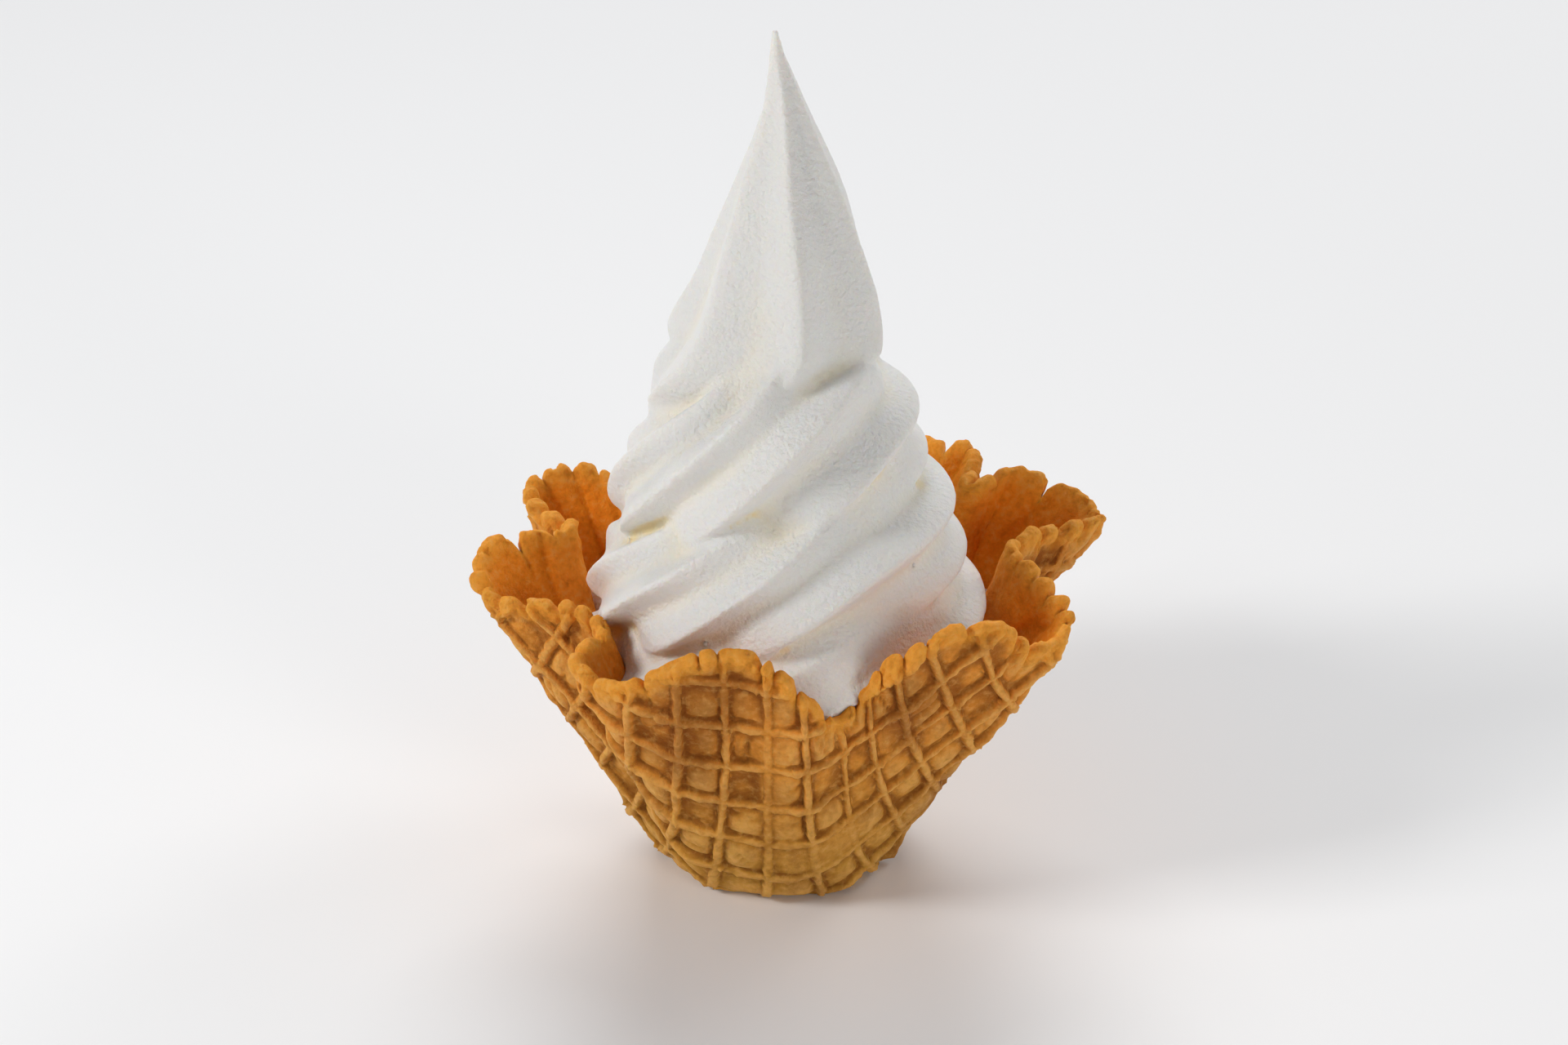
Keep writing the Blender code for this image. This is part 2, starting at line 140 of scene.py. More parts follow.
def rim_curve():
    """The closed rim, how far along it each point lies as an angle of the flat sheet, and its length."""
    azimuth, reach, height = np.array([row for petal in PETALS.values() for row in petal], dtype=float).T
    knots = np.column_stack([rays(np.radians(azimuth)) * (reach * MM)[:, None], height * MM])
    before, after, beyond = (np.roll(knots, places, axis=0) for places in (1, -1, -2))
    points = []
    for t in np.arange(RIM_SAMPLES) / RIM_SAMPLES:
        points.append(0.5 * (
            2.0 * knots
            + (after - before) * t
            + (2.0 * before - 5.0 * knots + 4.0 * after - beyond) * t**2
            + (3.0 * knots - before - 3.0 * after + beyond) * t**3))
    curve = np.stack(points, axis=1).reshape(-1, 3)
    closed = np.vstack([curve, curve[:1]])
    length = np.concatenate([[0.0], np.cumsum(np.linalg.norm(np.diff(closed, axis=0), axis=1))])
    return closed, length / length[-1] * 360.0, length[-1]


RIM_POINTS, RIM_SHARE, RIM_LENGTH = rim_curve()
RIM_AZIMUTH = np.degrees(np.unwrap(np.arctan2(RIM_POINTS[:, 1], RIM_POINTS[:, 0])))
FLAT_SHIFT = FRONT - np.interp(FRONT, RIM_AZIMUTH, RIM_SHARE)
MEAN_REACH = float(np.mean(np.hypot(RIM_POINTS[:, 0], RIM_POINTS[:, 1])))
print("the rim is", in_mm(RIM_LENGTH), "mm long")

# %% Carry the flat sheet onto the cup
BASE_RADIUS = 21.5 * MM
BASE_BEND = 4.0 * MM
FLUTE_GROWTH = 0.55
NORMAL_STEP = 0.2 * MM


def rim_at(flat_angle):
    """The rim's position for angles of the flat sheet, in degrees."""
    share = np.mod(flat_angle - FLAT_SHIFT, 360.0)
    return np.stack([np.interp(share, RIM_SHARE, RIM_POINTS[:, axis]) for axis in range(3)], axis=-1)


def slant_at(flat_angle):
    """Length of the wall from the base's edge to the rim."""
    wall = rim_at(flat_angle)
    wall[..., :2] -= BASE_RADIUS * rays(np.radians(flat_angle))
    return np.linalg.norm(wall, axis=-1)


def pressed(x, y):
    """Points of the flat sheet, carried onto the pressed cup."""
    flat_radius = np.hypot(x, y)
    angle = np.arctan2(y, x)
    ray = rays(angle)
    rim = rim_at(np.degrees(angle))
    beyond = flat_radius - BASE_RADIUS
    climb = np.where(beyond > BASE_BEND, beyond, (beyond + BASE_BEND) ** 2 / (4.0 * BASE_BEND))
    climb = np.where(beyond < -BASE_BEND, 0.0, climb)
    share = np.clip(climb / slant_at(np.degrees(angle)), 0.0, None)
    flute = np.clip(share, 0.0, 1.0) ** FLUTE_GROWTH
    reach = MEAN_REACH * ray * (1.0 - flute)[..., None] + rim[..., :2] * flute[..., None]
    base = (flat_radius - climb)[..., None] * ray
    plan = base + share[..., None] * (reach - BASE_RADIUS * ray)
    return np.concatenate([plan, (share * rim[..., 2])[..., None]], axis=-1)


def unit(vectors):
    """The vectors at length 1."""
    return vectors / np.linalg.norm(vectors, axis=-1)[..., None]


def outward(x, y):
    """Unit normals of the pressed sheet, out of the bowl and down."""
    across = pressed(x + NORMAL_STEP, y) - pressed(x - NORMAL_STEP, y)
    along = pressed(x, y + NORMAL_STEP) - pressed(x, y - NORMAL_STEP)
    return unit(np.cross(along, across))


front_edge = pressed(np.array([0.0]), np.array([-86.0 * MM]))[0]
print("86 mm from the middle of the flat sheet comes to, mm:", in_mm(front_edge))

# %% [markdown]
# ## The broken edge
#
# Batter runs out of the iron in tongues, and they bake into lobes with notches between. Some are narrow
# beads, some are as wide as a thumb. One could draw the edge as a curve, but the lobes also have to stand
# off the sheet. So the edge is described by its notches, each by its place round the flat sheet and its
# depth, and an arch swells up between each two. A crack runs in from every notch. The wall needs these
# facts again later, so the edge is kept as a table that is read by direction.

# %% Notches: angle round the flat sheet in degrees, and depth in mm
NOTCHES = {
    "right": ((1.9, 1.6), (5.8, 1.9), (10.2, 1.9), (17.5, 1.2), (27.7, 3.4), (38.5, 3.0)),
    "back right": ((42.5, 1.4), (46.5, 1.2), (50.5, 1.0), (55.3, 1.4), (60.0, 1.6), (64.5, 1.0)),
    "back": (
        (71.0, 1.8), (79.0, 2.4), (84.5, 1.2), (91.0, 1.5), (101.0, 2.8), (107.0, 1.4), (113.0, 1.2),
        (122.0, 2.2), (128.5, 1.4), (135.0, 1.8)),
    "back left": ((142.1, 1.0), (147.5, 1.1), (152.0, 0.9), (157.5, 1.8), (161.0, 1.2), (164.5, 1.4)),
    "left": ((168.6, 1.4), (173.9, 1.6), (179.3, 1.2), (185.5, 3.8), (196.5, 1.2), (199.5, 1.2)),
    "front left": (
        (202.9, 1.2), (207.4, 2.4), (213.0, 2.0), (216.2, 1.2), (219.2, 1.2), (224.2, 1.2), (230.0, 1.0),
        (237.5, 0.9), (248.2, 2.8), (258.2, 1.1), (261.0, 1.2), (267.4, 1.7), (269.6, 0.9), (274.4, 1.9)),
    "front right": (
        (282.2, 2.2), (289.9, 1.7), (296.0, 0.8), (301.0, 1.4), (305.0, 1.0), (312.2, 2.0), (322.3, 2.0),
        (325.5, 1.7), (335.9, 1.0), (339.0, 1.6), (342.6, 1.4), (346.5, 1.3), (350.5, 1.0), (356.8, 1.4)),
}
print(sum(len(petal) for petal in NOTCHES.values()), "notches")

# %% The edge, point by point
CREST_RISE = 0.7 * MM
CORNER = 3.0 * MM
CORNER_FULLNESS = 2.3
EDGE_SPACING, FEWEST_STEPS = 0.6 * MM, 5
NIBBLE, NIBBLE_NOISE = 0.4 * MM, (2.1 * MM, 21)
BEAD_WIDTH, BEAD_START = 11.0 * MM, 1.3
BEAD_FULLNESS, BEAD_CHANCE = (0.12, 1.0), (0.75, 1.15)
NOTCH_FULLNESS = 0.2
CRACK_PER_DEPTH = 2.6
EDGE_SEED = 8


def dip(gap, corner):
    """Share of a notch's depth at a distance from it: 1 in the notch, 0 beyond its corner."""
    return (1.0 - min(gap / corner, 1.0)) ** CORNER_FULLNESS


def plan_of(table):
    """The table's points in the plane."""
    return rays(np.radians(table[:, 0])) * table[:, 1:2]


def edge_table():
    """Rows of the edge: angle, radius, fullness of the lobe, distance to a notch, reach of its crack."""
    chance = random.Random(EDGE_SEED)
    notches = [row for petal in NOTCHES.values() for row in petal]
    first_start, first_depth = notches[0]
    following = notches[1:] + [(first_start + 360.0, first_depth)]
    rows = []
    for (start, depth), (end, next_depth) in zip(notches, following):
        plain = BASE_RADIUS + float(slant_at(np.array(0.5 * (start + end))))
        length = math.radians(end - start) * plain
        corner = min(CORNER, 0.5 * length)
        puff = np.clip(BEAD_START - length / BEAD_WIDTH, *BEAD_FULLNESS) * chance.uniform(*BEAD_CHANCE)
        steps = max(FEWEST_STEPS, round(length / EDGE_SPACING))
        for part in np.arange(steps) / steps:
            gap, next_gap = part * length, (1.0 - part) * length
            drop = depth * dip(gap, corner) + next_depth * dip(next_gap, corner)
            angle = start + (end - start) * part
            radius = BASE_RADIUS + float(slant_at(np.array(angle))) + CREST_RISE - drop * MM
            arch = 1.0 - dip(min(gap, next_gap), corner)
            reach = CRACK_PER_DEPTH * (depth if part < 0.5 else next_depth) * MM
            fullness = puff * (NOTCH_FULLNESS + (1.0 - NOTCH_FULLNESS) * arch)
            rows.append((angle % 360.0, radius, fullness, min(gap, next_gap), reach))
    table = np.array(sorted(rows))
    table[:, 1] += NIBBLE * soft_noise(plan_of(table), *NIBBLE_NOISE)
    return table


EDGE = edge_table()
OUTLINE = plan_of(EDGE)
print(len(OUTLINE), "points round the edge")


# %% Beads and cracks
def falloff(distance, width):
    """1 where the distance is nothing, fading away like a bell over the width."""
    return np.exp(-((distance / width) ** 2))


def edge_facts(x, y):
    """Distance in from the edge, then the fullness, the gap and the crack's reach from the table."""
    angle = np.degrees(np.arctan2(y, x)) % 360.0
    radius, fullness, gap, reach = (
        np.interp(angle, EDGE[:, 0], EDGE[:, column], period=360.0) for column in range(1, 5))
    return radius - np.hypot(x, y), fullness, gap, reach


BEAD_RISE = 0.85 * MM
BEAD_FALLOFF = 2.6 * MM
CRACK_DEPTH = 0.8 * MM
CRACK_HALF_WIDTH = 0.5 * MM


def bead_rise(x, y):
    """How far the lobes stand off the sheet, with the cracks between them cut in."""
    inside, fullness, gap, reach = edge_facts(x, y)
    inside = np.maximum(inside, 0.0)
    crack = falloff(gap, CRACK_HALF_WIDTH) * falloff(inside, reach)
    return BEAD_RISE * (fullness * falloff(inside, BEAD_FALLOFF)) - CRACK_DEPTH * crack


print("beads stand off by up to", in_mm(bead_rise(*OUTLINE.T).max()), "mm")

# %% [markdown]
# ## The grid outside
#
# The iron's grooves leave raised bars on the outer face, about 11 mm apart. On the real waffle they
# waver, their sides are ragged, and they are low where the batter ran thin. The floor of each square
# puffs up like a small pillow with a shallow moat round it, tilts, and sometimes has a fold. In a few
# patches the iron hardly touched the batter, and bars and squares run into one worn surface. A
# displacement texture could do some of this, but its detail is lost when the model is exported. Here the
# height is a function of the place on the flat sheet, and the mesh has a line of points along every bar's
# crest and foot.

# %% Bars
GRID_PITCH = 10.7 * MM
GRID_SHIFT = (-2.0 * MM, 2.4 * MM)
BAR_HALF_WIDTH = 1.2 * MM
BAR_SIDE = 0.5 * MM
BAR_CROWN = 0.42
WOBBLE, WOBBLE_SIZE, WOBBLE_SEEDS = 0.55 * MM, 13.0 * MM, (31, 32)
CELL_TABLE, CELL_SEED = 32, 41


def wobble(x, y):
    """How far the bars stand aside from straight lines, across and along."""
    place = np.stack([x, y], axis=-1)
    return [WOBBLE * soft_noise(place, WOBBLE_SIZE, seed) for seed in WOBBLE_SEEDS]


def from_bar(value, shift):
    """Signed distance to the nearest bar's middle."""
    return np.mod(value - shift + 0.5 * GRID_PITCH, GRID_PITCH) - 0.5 * GRID_PITCH


def bar(offset, ragged):
    """A bar's height as a share, across its width: a crowned top between steep, ragged sides."""
    side = soft_step((BAR_HALF_WIDTH + ragged - np.abs(offset)) / BAR_SIDE)
    crown = 1.0 - BAR_CROWN * np.clip(np.abs(offset) / BAR_HALF_WIDTH, 0.0, 1.0) ** 2
    return side * crown


def cell_chance(across, along):
    """Six random shares for the square that each point lies in."""
    table = np.random.default_rng(CELL_SEED).uniform(0.0, 1.0, (CELL_TABLE, CELL_TABLE, 6))
    column = np.floor((across - GRID_SHIFT[0]) / GRID_PITCH).astype(int) % CELL_TABLE
    row = np.floor((along - GRID_SHIFT[1]) / GRID_PITCH).astype(int) % CELL_TABLE
    return np.moveaxis(table[column, row], -1, 0)


print("a bar is", in_mm(2.0 * BAR_HALF_WIDTH), "mm wide")

# %% The squares' floors
PILLOW = 1.35 * MM
PILLOW_RARITY, PILLOW_FULLNESS = 1.3, 0.65
PILLOW_TILT = 0.5 * MM
MOAT, MOAT_DEPTH = 0.3 * MM, 0.35 * MM
FOLD_SHARE, FOLD_SHIFT = 0.5, 0.8
FOLD_DEPTH, FOLD_HALF_WIDTH = 0.7 * MM, 0.5 * MM
FOLD_BEND, FOLD_NOISE = 0.5 * WOBBLE, (3.0 * MM, 42)


def pillow(across, along):
    """Height of the squares' floors: puffed, tilted, and some with a fold across."""
    puff, tilt_one, tilt_two, turn, aside, folded = cell_chance(across, along)
    half = 0.5 * GRID_PITCH - BAR_HALF_WIDTH - MOAT
    one, two = (
        (np.mod(value - shift, GRID_PITCH) - 0.5 * GRID_PITCH) / half
        for value, shift in zip((across, along), GRID_SHIFT))
    plan = np.clip(1.0 - np.abs(one) ** 3, 0.0, 1.0) * np.clip(1.0 - np.abs(two) ** 3, 0.0, 1.0)
    height = PILLOW * puff**PILLOW_RARITY
    height = height + PILLOW_TILT * ((2.0 * tilt_one - 1.0) * one + (2.0 * tilt_two - 1.0) * two)
    line = one * np.cos(math.pi * turn) + two * np.sin(math.pi * turn) + FOLD_SHIFT * (aside - 0.5)
    line = line * half + FOLD_BEND * soft_noise(np.stack([across, along], axis=-1), *FOLD_NOISE)
    fold = np.where(folded < FOLD_SHARE, FOLD_DEPTH * falloff(line, FOLD_HALF_WIDTH), 0.0)
    return plan**PILLOW_FULLNESS * (height + MOAT_DEPTH - fold) - MOAT_DEPTH


print("moats are", in_mm(MOAT_DEPTH), "mm deep, and pillows puff up by", in_mm(PILLOW), "mm at most")


# %% Layers and patches of noise
def layered(places, start, layers):
    """The start value with layers of soft noise on it, each given as its share, size and seed."""
    for share, size, seed in layers:
        start = start + share * soft_noise(places, size, seed)
    return start


def patches(places, size, seed, low, border):
    """Scattered patches: 0 where the noise is below low, and from there up to 1 over the border."""
    return soft_step((soft_noise(places, size, seed) - low) / border)


print("patches of 1 mm cover", round(float(patches(OUTLINE, MM, 1, 0.0, 0.3).mean()), 2), "of the edge")

# %% Height of the outer face
BAR_HEIGHT = 1.65 * MM
TALLNESS, TALLNESS_LAYERS, TALLNESS_RANGE = 0.86, ((0.5, 9.0 * MM, 43),), (0.35, 1.15)
BEADED_LAYERS = ((0.2, 2.1 * MM, 44), (0.12, 0.9 * MM, 47))
BAR_RAGGED, RAGGED_LAYERS = 0.42 * MM, ((0.6, 1.0 * MM, 45), (0.7, 2.6 * MM, 48))
BAR_CRUMB, BAR_CRUMB_REACH, CRUMB_PATCHES = 0.55 * MM, 0.6 * MM, (0.85 * MM, 49, 0.35, 0.3)
SWELL, SWELL_NOISE = 0.25 * MM, (6.0 * MM, 46)
WORN, WORN_HEIGHT, WORN_PATCHES = 0.8, 0.85 * MM, (17.0 * MM, 2056, 0.35, 0.3)
RELIEF_START, RELIEF_GROWTH = 19.5 * MM, 5.0 * MM


def grid_relief(x, y):
    """Height of the outer face above the plain sheet."""
    aside, ahead = wobble(x, y)
    across, along = x - aside, y - ahead
    place = np.stack([x, y], axis=-1)
    tall = BAR_HEIGHT * np.clip(layered(place, TALLNESS, TALLNESS_LAYERS), *TALLNESS_RANGE)
    tall = tall * layered(place, 1.0, BEADED_LAYERS)
    ragged = BAR_RAGGED * layered(place, 0.0, RAGGED_LAYERS)
    offsets = [from_bar(value, shift) for value, shift in zip((across, along), GRID_SHIFT)]
    beside = np.minimum(*(np.abs(np.abs(offset) - BAR_HALF_WIDTH) for offset in offsets))
    crumbs = patches(place, *CRUMB_PATCHES) * falloff(beside, BAR_CRUMB_REACH)
    bars = tall * np.maximum(*(bar(offset, ragged) for offset in offsets)) + BAR_CRUMB * crumbs
    worn = WORN * patches(place, *WORN_PATCHES)
    relief = (1.0 - worn) * np.maximum(bars, pillow(across, along)) + worn * WORN_HEIGHT
    fade = np.clip((np.hypot(x, y) - RELIEF_START) / RELIEF_GROWTH, 0.0, 1.0)
    return fade * (relief + SWELL * soft_noise(place, *SWELL_NOISE))


sample = grid_relief(*np.random.default_rng(0).uniform(-60.0 * MM, 60.0 * MM, (2, 4000)))
print("relief, mm:", in_mm([sample.min(), sample.max()]))

# %% [markdown]
# ## The lining
#
# The inside was against a smooth mould, so it has no bars. It does have long wrinkles that run from the
# rim down towards the base, where the hot sheet was squeezed into its folds, and a fine unevenness. They
# could be carved one by one. Here a noise is stretched down the wall, and each line where it crosses zero
# becomes a wrinkle, so there are as many as wanted and no two are alike.

# %% Wrinkles of the inner face
SHEET_THICKNESS = 2.7 * MM
WRINKLE_DEPTH, WRINKLE_SHARPNESS, WRINKLE_STRETCH = 0.85 * MM, 0.16, 6.0
WRINKLE_SIZE, WRINKLE_CONTRAST = 5.5 * MM, 1.6
WRINKLE_NOISE, WRINKLE_PATCHES = (WRINKLE_SIZE, 51), (2.2 * WRINKLE_SIZE, 52)
LINING_SWELL = 0.28 * MM
LINING_LAYERS = ((LINING_SWELL, 5.0 * MM, 53), (0.3 * LINING_SWELL, 1.8 * MM, 54))


def lining_relief(x, y):
    """How far the inner face lies off the plain one, towards the middle of the bowl."""
    radius = np.hypot(x, y)
    ring = rays(np.arctan2(y, x)) * MEAN_REACH
    place = np.concatenate([ring, (radius / WRINKLE_STRETCH)[..., None]], axis=-1)
    line = np.abs(soft_noise(place, *WRINKLE_NOISE))
    patch = soft_step(0.5 + WRINKLE_CONTRAST * soft_noise(place, *WRINKLE_PATCHES))
    wrinkle = WRINKLE_DEPTH * patch * falloff(line, WRINKLE_SHARPNESS)
    return layered(np.stack([x, y], axis=-1), 0.0, LINING_LAYERS) - wrinkle


print("wrinkles are up to", in_mm(WRINKLE_DEPTH), "mm deep")

# %% [markdown]
# ## From a flat cloud of points to one closed skin
#
# Each face of the sheet is a cloud of points in the plane, joined into triangles by Blender's Delaunay
# routine. An even grid that is fine enough for the bars would need several times as many points. So the
# outer cloud follows the grid, with more lines near the bars, and the bars stay crisp. The inner cloud is
# an even honeycomb. Both clouds share the edge's points, and a few rows of points over the edge close the
# skin with a rounded lip.

# %% Clouds of points
BAR_LINES = (0.0, 0.4 * MM, 0.75 * MM, 1.05 * MM, 1.35 * MM, 1.8 * MM, 2.5 * MM, 3.4 * MM, 4.4 * MM)
INNER_SPACING = 1.15 * MM
OUTER_CLEARANCE, INNER_CLEARANCE = 0.55 * EDGE_SPACING, 0.8 * EDGE_SPACING
POINT_MERGE = 1e-6 * MM


def grid_cloud(reach):
    """Points that follow the wavering bars."""
    half = np.array(BAR_LINES)
    offsets = np.unique(np.concatenate([half, -half, [0.5 * GRID_PITCH]]))
    count = int(reach / GRID_PITCH) + 2
    lines = [
        (shift + GRID_PITCH * np.arange(-count, count)[:, None] + offsets).ravel() for shift in GRID_SHIFT]
    across, along = (values.ravel() for values in np.meshgrid(*lines))
    aside, ahead = wobble(across, along)
    return np.stack([across + aside, along + ahead], axis=1)


def honeycomb(reach, spacing):
    """Points in staggered rows."""
    rows = np.arange(-reach, reach, spacing * math.sqrt(0.75))
    columns = np.arange(-reach, reach, spacing)
    x, y = np.meshgrid(columns, rows)
    x[::2] += 0.5 * spacing
    return np.stack([x.ravel(), y.ravel()], axis=1)


def inside_edge(points, clearance):
    """The points inside the outline, at least the clearance away from it."""
    points = points[edge_facts(*points.T)[0] > 0.5 * clearance]
    tree = KDTree(len(OUTLINE))
    for index, point in enumerate(OUTLINE):
        tree.insert((*point, 0.0), index)
    tree.balance()
    return points[[tree.find((*point, 0.0))[2] > clearance for point in points]]


def joined_flat(inner):
    """Triangles over the outline and the points inside it. The outline's points keep the first places."""
    points = [Vector(point) for point in np.vstack([OUTLINE, inner])]
    flat, _, faces, *_ = delaunay_2d_cdt(points, [], [list(range(len(OUTLINE)))], 1, POINT_MERGE)
    return np.array([tuple(point) for point in flat]), np.array(faces)


reach = float(EDGE[:, 1].max())
outer_flat, outer_faces = joined_flat(inside_edge(grid_cloud(reach), OUTER_CLEARANCE))
inner_flat, inner_faces = joined_flat(inside_edge(honeycomb(reach, INNER_SPACING), INNER_CLEARANCE))
print(len(outer_faces), "triangles outside and", len(inner_faces), "inside")

# %% The two faces
LIP_SMOOTHING, LIP_RELIEF = 2.5 * MM, 0.3
LIP_THINNING, INNER_BEAD = 0.5 * MM, 0.45


def outer_face(x, y):
    """Points of the outer face on the pressed cup."""
    inside = np.maximum(edge_facts(x, y)[0], 0.0)
    share = LIP_RELIEF + (1.0 - LIP_RELIEF) * soft_step(inside / LIP_SMOOTHING)
    lift = grid_relief(x, y) * share + bead_rise(x, y)
    return pressed(x, y) + outward(x, y) * lift[:, None]


def inner_face(x, y):
    """Points of the inner face on the pressed cup."""
    inside = np.maximum(edge_facts(x, y)[0], 0.0)
    thinning = LIP_THINNING * falloff(inside, 2.0 * BEAD_FALLOFF)
    lift = SHEET_THICKNESS - thinning + lining_relief(x, y) + INNER_BEAD * bead_rise(x, y)
    return pressed(x, y) - outward(x, y) * lift[:, None]


half_way_up = np.array([[0.0], [-54.0 * MM]])
thickness = np.linalg.norm(outer_face(*half_way_up) - inner_face(*half_way_up))
print("half way up its front the waffle is", in_mm(thickness), "mm thick")

# %% The lip that joins them
LIP_ROWS, LIP_BULGE = 7, 0.9
EDGE_STEP = 0.3 * MM


def lip_rows():
    """Rows of points that carry the outer face's edge over into the inner face's."""
    x, y = OUTLINE.T
    above, below = outer_face(x, y), inner_face(x, y)
    middle, half = 0.5 * (above + below), 0.5 * (above - below)
    grow = 1.0 + EDGE_STEP / np.hypot(x, y)
    beyond = unit(pressed(x * grow, y * grow) - pressed(x, y))
    bulge = LIP_BULGE * np.linalg.norm(half, axis=1)[:, None] * beyond
    turns = math.pi * np.arange(1, LIP_ROWS + 1) / (LIP_ROWS + 1)
    return [middle + half * math.cos(turn) + bulge * math.sin(turn) for turn in turns]


def bowl_skin():
    """The closed waffle's points and triangles, and each point's lining share and way in from the edge."""
    outer = outer_face(*outer_flat.T)
    inner = inner_face(*inner_flat.T)
    rows = lip_rows()
    count = len(OUTLINE)
    points = np.vstack([outer, inner, *rows])
    first_row = len(outer) + len(inner)
    rings = [np.arange(count)]
    rings += [first_row + count * index + np.arange(count) for index in range(LIP_ROWS)]
    rings += [len(outer) + np.arange(count)]
    faces = [outer_faces[:, ::-1], inner_faces + len(outer)]
    for near, far in zip(rings, rings[1:]):
        near_next, far_next = np.roll(near, -1), np.roll(far, -1)
        faces += [np.stack([near, near_next, far_next], axis=1), np.stack([near, far_next, far], axis=1)]
    lining = np.concatenate(
        [np.zeros(len(outer)), np.ones(len(inner)), np.repeat(np.linspace(0.1, 0.9, LIP_ROWS), count)])
    inside = np.concatenate(
        [edge_facts(*outer_flat.T)[0], edge_facts(*inner_flat.T)[0], np.zeros(LIP_ROWS * count)])
    return points, np.vstack(faces), lining, np.maximum(inside, 0.0)


skin_points, skin_faces, lining_share, from_edge = bowl_skin()
print(len(skin_points), "points,", len(skin_faces), "triangles")


# %% Turn points and triangles into an object
def linked(name, data):
    """A new object in the scene that shows the data."""
    made = bpy.data.objects.new(name, data)
    bpy.context.scene.collection.objects.link(made)
    return made


def make_object(name, points, faces):
    """A smooth-shaded mesh object from arrays of points and triangles."""
    data = bpy.data.meshes.new(name)
    data.from_pydata(points.tolist(), [], faces.tolist())
    data.validate()
    data.update()
    data.shade_smooth()
    return linked(name, data)


def places(data):
    """The mesh's points as an array."""
    values = np.empty(3 * len(data.vertices))
    data.vertices.foreach_get("co", values)
    return values.reshape(-1, 3)


def normals(data):
    """The mesh's point normals as an array."""
    values = np.empty(3 * len(data.vertices))
    data.vertex_normals.foreach_get("vector", values)
    return values.reshape(-1, 3)


def move_points(data, points):
    """Give the mesh new places for its points."""
    data.vertices.foreach_set("co", points.ravel())
    data.update()


def paint(data, name, values):
    """Keep one number for each point of the mesh, for its material to read."""
    data.attributes.new(name, "FLOAT", "POINT").data.foreach_set("value", values.astype(np.float32))


bowl = make_object("waffle_bowl_skin", skin_points, skin_faces)
print(bowl.name, in_mm(bowl.dimensions))

# %% [markdown]
# ## Crumb
#
# A closer look at the lip shows blisters, pits and crumbs a millimetre or two across, and a faint
# roughness all over. Sculpting each by hand would take days, so noise moves each point a little way along
# its own normal. Blisters, pits and crumbs are kept to the lip.

# %% Blisters, pits and crumbs
LIP_FADE = 3.2 * MM
CRUMB_LAYERS = ((0.30 * MM, 2.1 * MM, 61), (0.13 * MM, 0.9 * MM, 62))
PIT, PIT_PATCHES = 0.55 * MM, (1.5 * MM, 63, 0.42, 0.25)
GRAIN, GRAIN_LAYERS = 0.08 * MM, ((1.0, 1.1 * MM, 64), (1.0, 2.6 * MM, 65))


def crumbly(points, lip):
    """How far each point of the waffle moves along its normal."""
    crumbs = layered(points, 0.0, CRUMB_LAYERS) - PIT * patches(points, *PIT_PATCHES)
    return lip * crumbs + GRAIN * layered(points, 0.0, GRAIN_LAYERS)


lip_share = falloff(from_edge, LIP_FADE)
crumbled = places(bowl.data) + normals(bowl.data) * crumbly(places(bowl.data), lip_share)[:, None]
on_base = np.hypot(*skin_points[:, :2].T) < BASE_RADIUS
crumbled[:, 2] = np.maximum(crumbled[:, 2], 0.0)
crumbled[on_base & (skin_points[:, 2] <= 0.0), 2] = 0.0
move_points(bowl.data, crumbled)
print("points moved by up to", in_mm(np.abs(crumbled - skin_points).max()), "mm")

# %% [markdown]
# ## Painted shade in the hollows, a painted highlight on the crests, and toasted patches
#
# Cycles shades the creases and the crests, and the colour also gets painted shade in the creases and a
# painted highlight on the crests. A shader has a pointiness value for this, but it sees only each point's
# next neighbours, which is too fine here. Smoothing a copy of the mesh fills its hollows and wears its
# crests down, so the distance from each point to the smoothed copy tells how deep in a hollow the point
# lies.
# That number is painted on the mesh and read by the material. So are the lip, the lining, and a few
# toasted patches, where the iron was hotter: they belong to the sheet, so their noise is read on the flat
# one.


# %% Depth below the smoothed surface
def smoothed(points, edges, rounds):
    """The points after each has moved to the mean of its neighbours, again and again."""
    count = len(points)
    neighbours = np.bincount(edges.ravel(), minlength=count)
    here, there = edges.T
    for _ in range(rounds):
        columns = [
            np.bincount(here, points[there, axis], count) + np.bincount(there, points[here, axis], count)
            for axis in range(3)]
        points = 0.5 * points + 0.5 * np.stack(columns, axis=1) / neighbours[:, None]
    return points


def hollow_depth(data, rounds):
    """How far each point lies below the smoothed surface, in metres; crests are negative."""
    edges = np.empty(2 * len(data.edges), dtype=np.int64)
    data.edges.foreach_get("vertices", edges)
    flat = smoothed(places(data), edges.reshape(-1, 2), rounds)
    return ((flat - places(data)) * normals(data)).sum(axis=1)


TOAST_PATCHES, TOAST_LIP_LOSS = (20.0 * MM, 6387, 0.1, 0.6), 0.6
WAFFLE_ROUNDS, WAFFLE_HOLLOW = 36, 0.42 * MM
hollow = hollow_depth(bowl.data, WAFFLE_ROUNDS)
# this depth drives the painted shade in the waffle's hollows and the painted highlight on its crests
paint(bowl.data, "hollow", np.clip(hollow / WAFFLE_HOLLOW, -1.0, 1.0))
paint(bowl.data, "lip", lip_share)
paint(bowl.data, "lining", lining_share)
sheet_places = np.vstack([outer_flat, inner_flat, np.tile(OUTLINE, (LIP_ROWS, 1))])
toast = patches(sheet_places, *TOAST_PATCHES)
paint(bowl.data, "toast", toast * (1.0 - lining_share) * (1.0 - TOAST_LIP_LOSS * lip_share))
print("hollows, mm:", in_mm([hollow.min(), hollow.max()]))
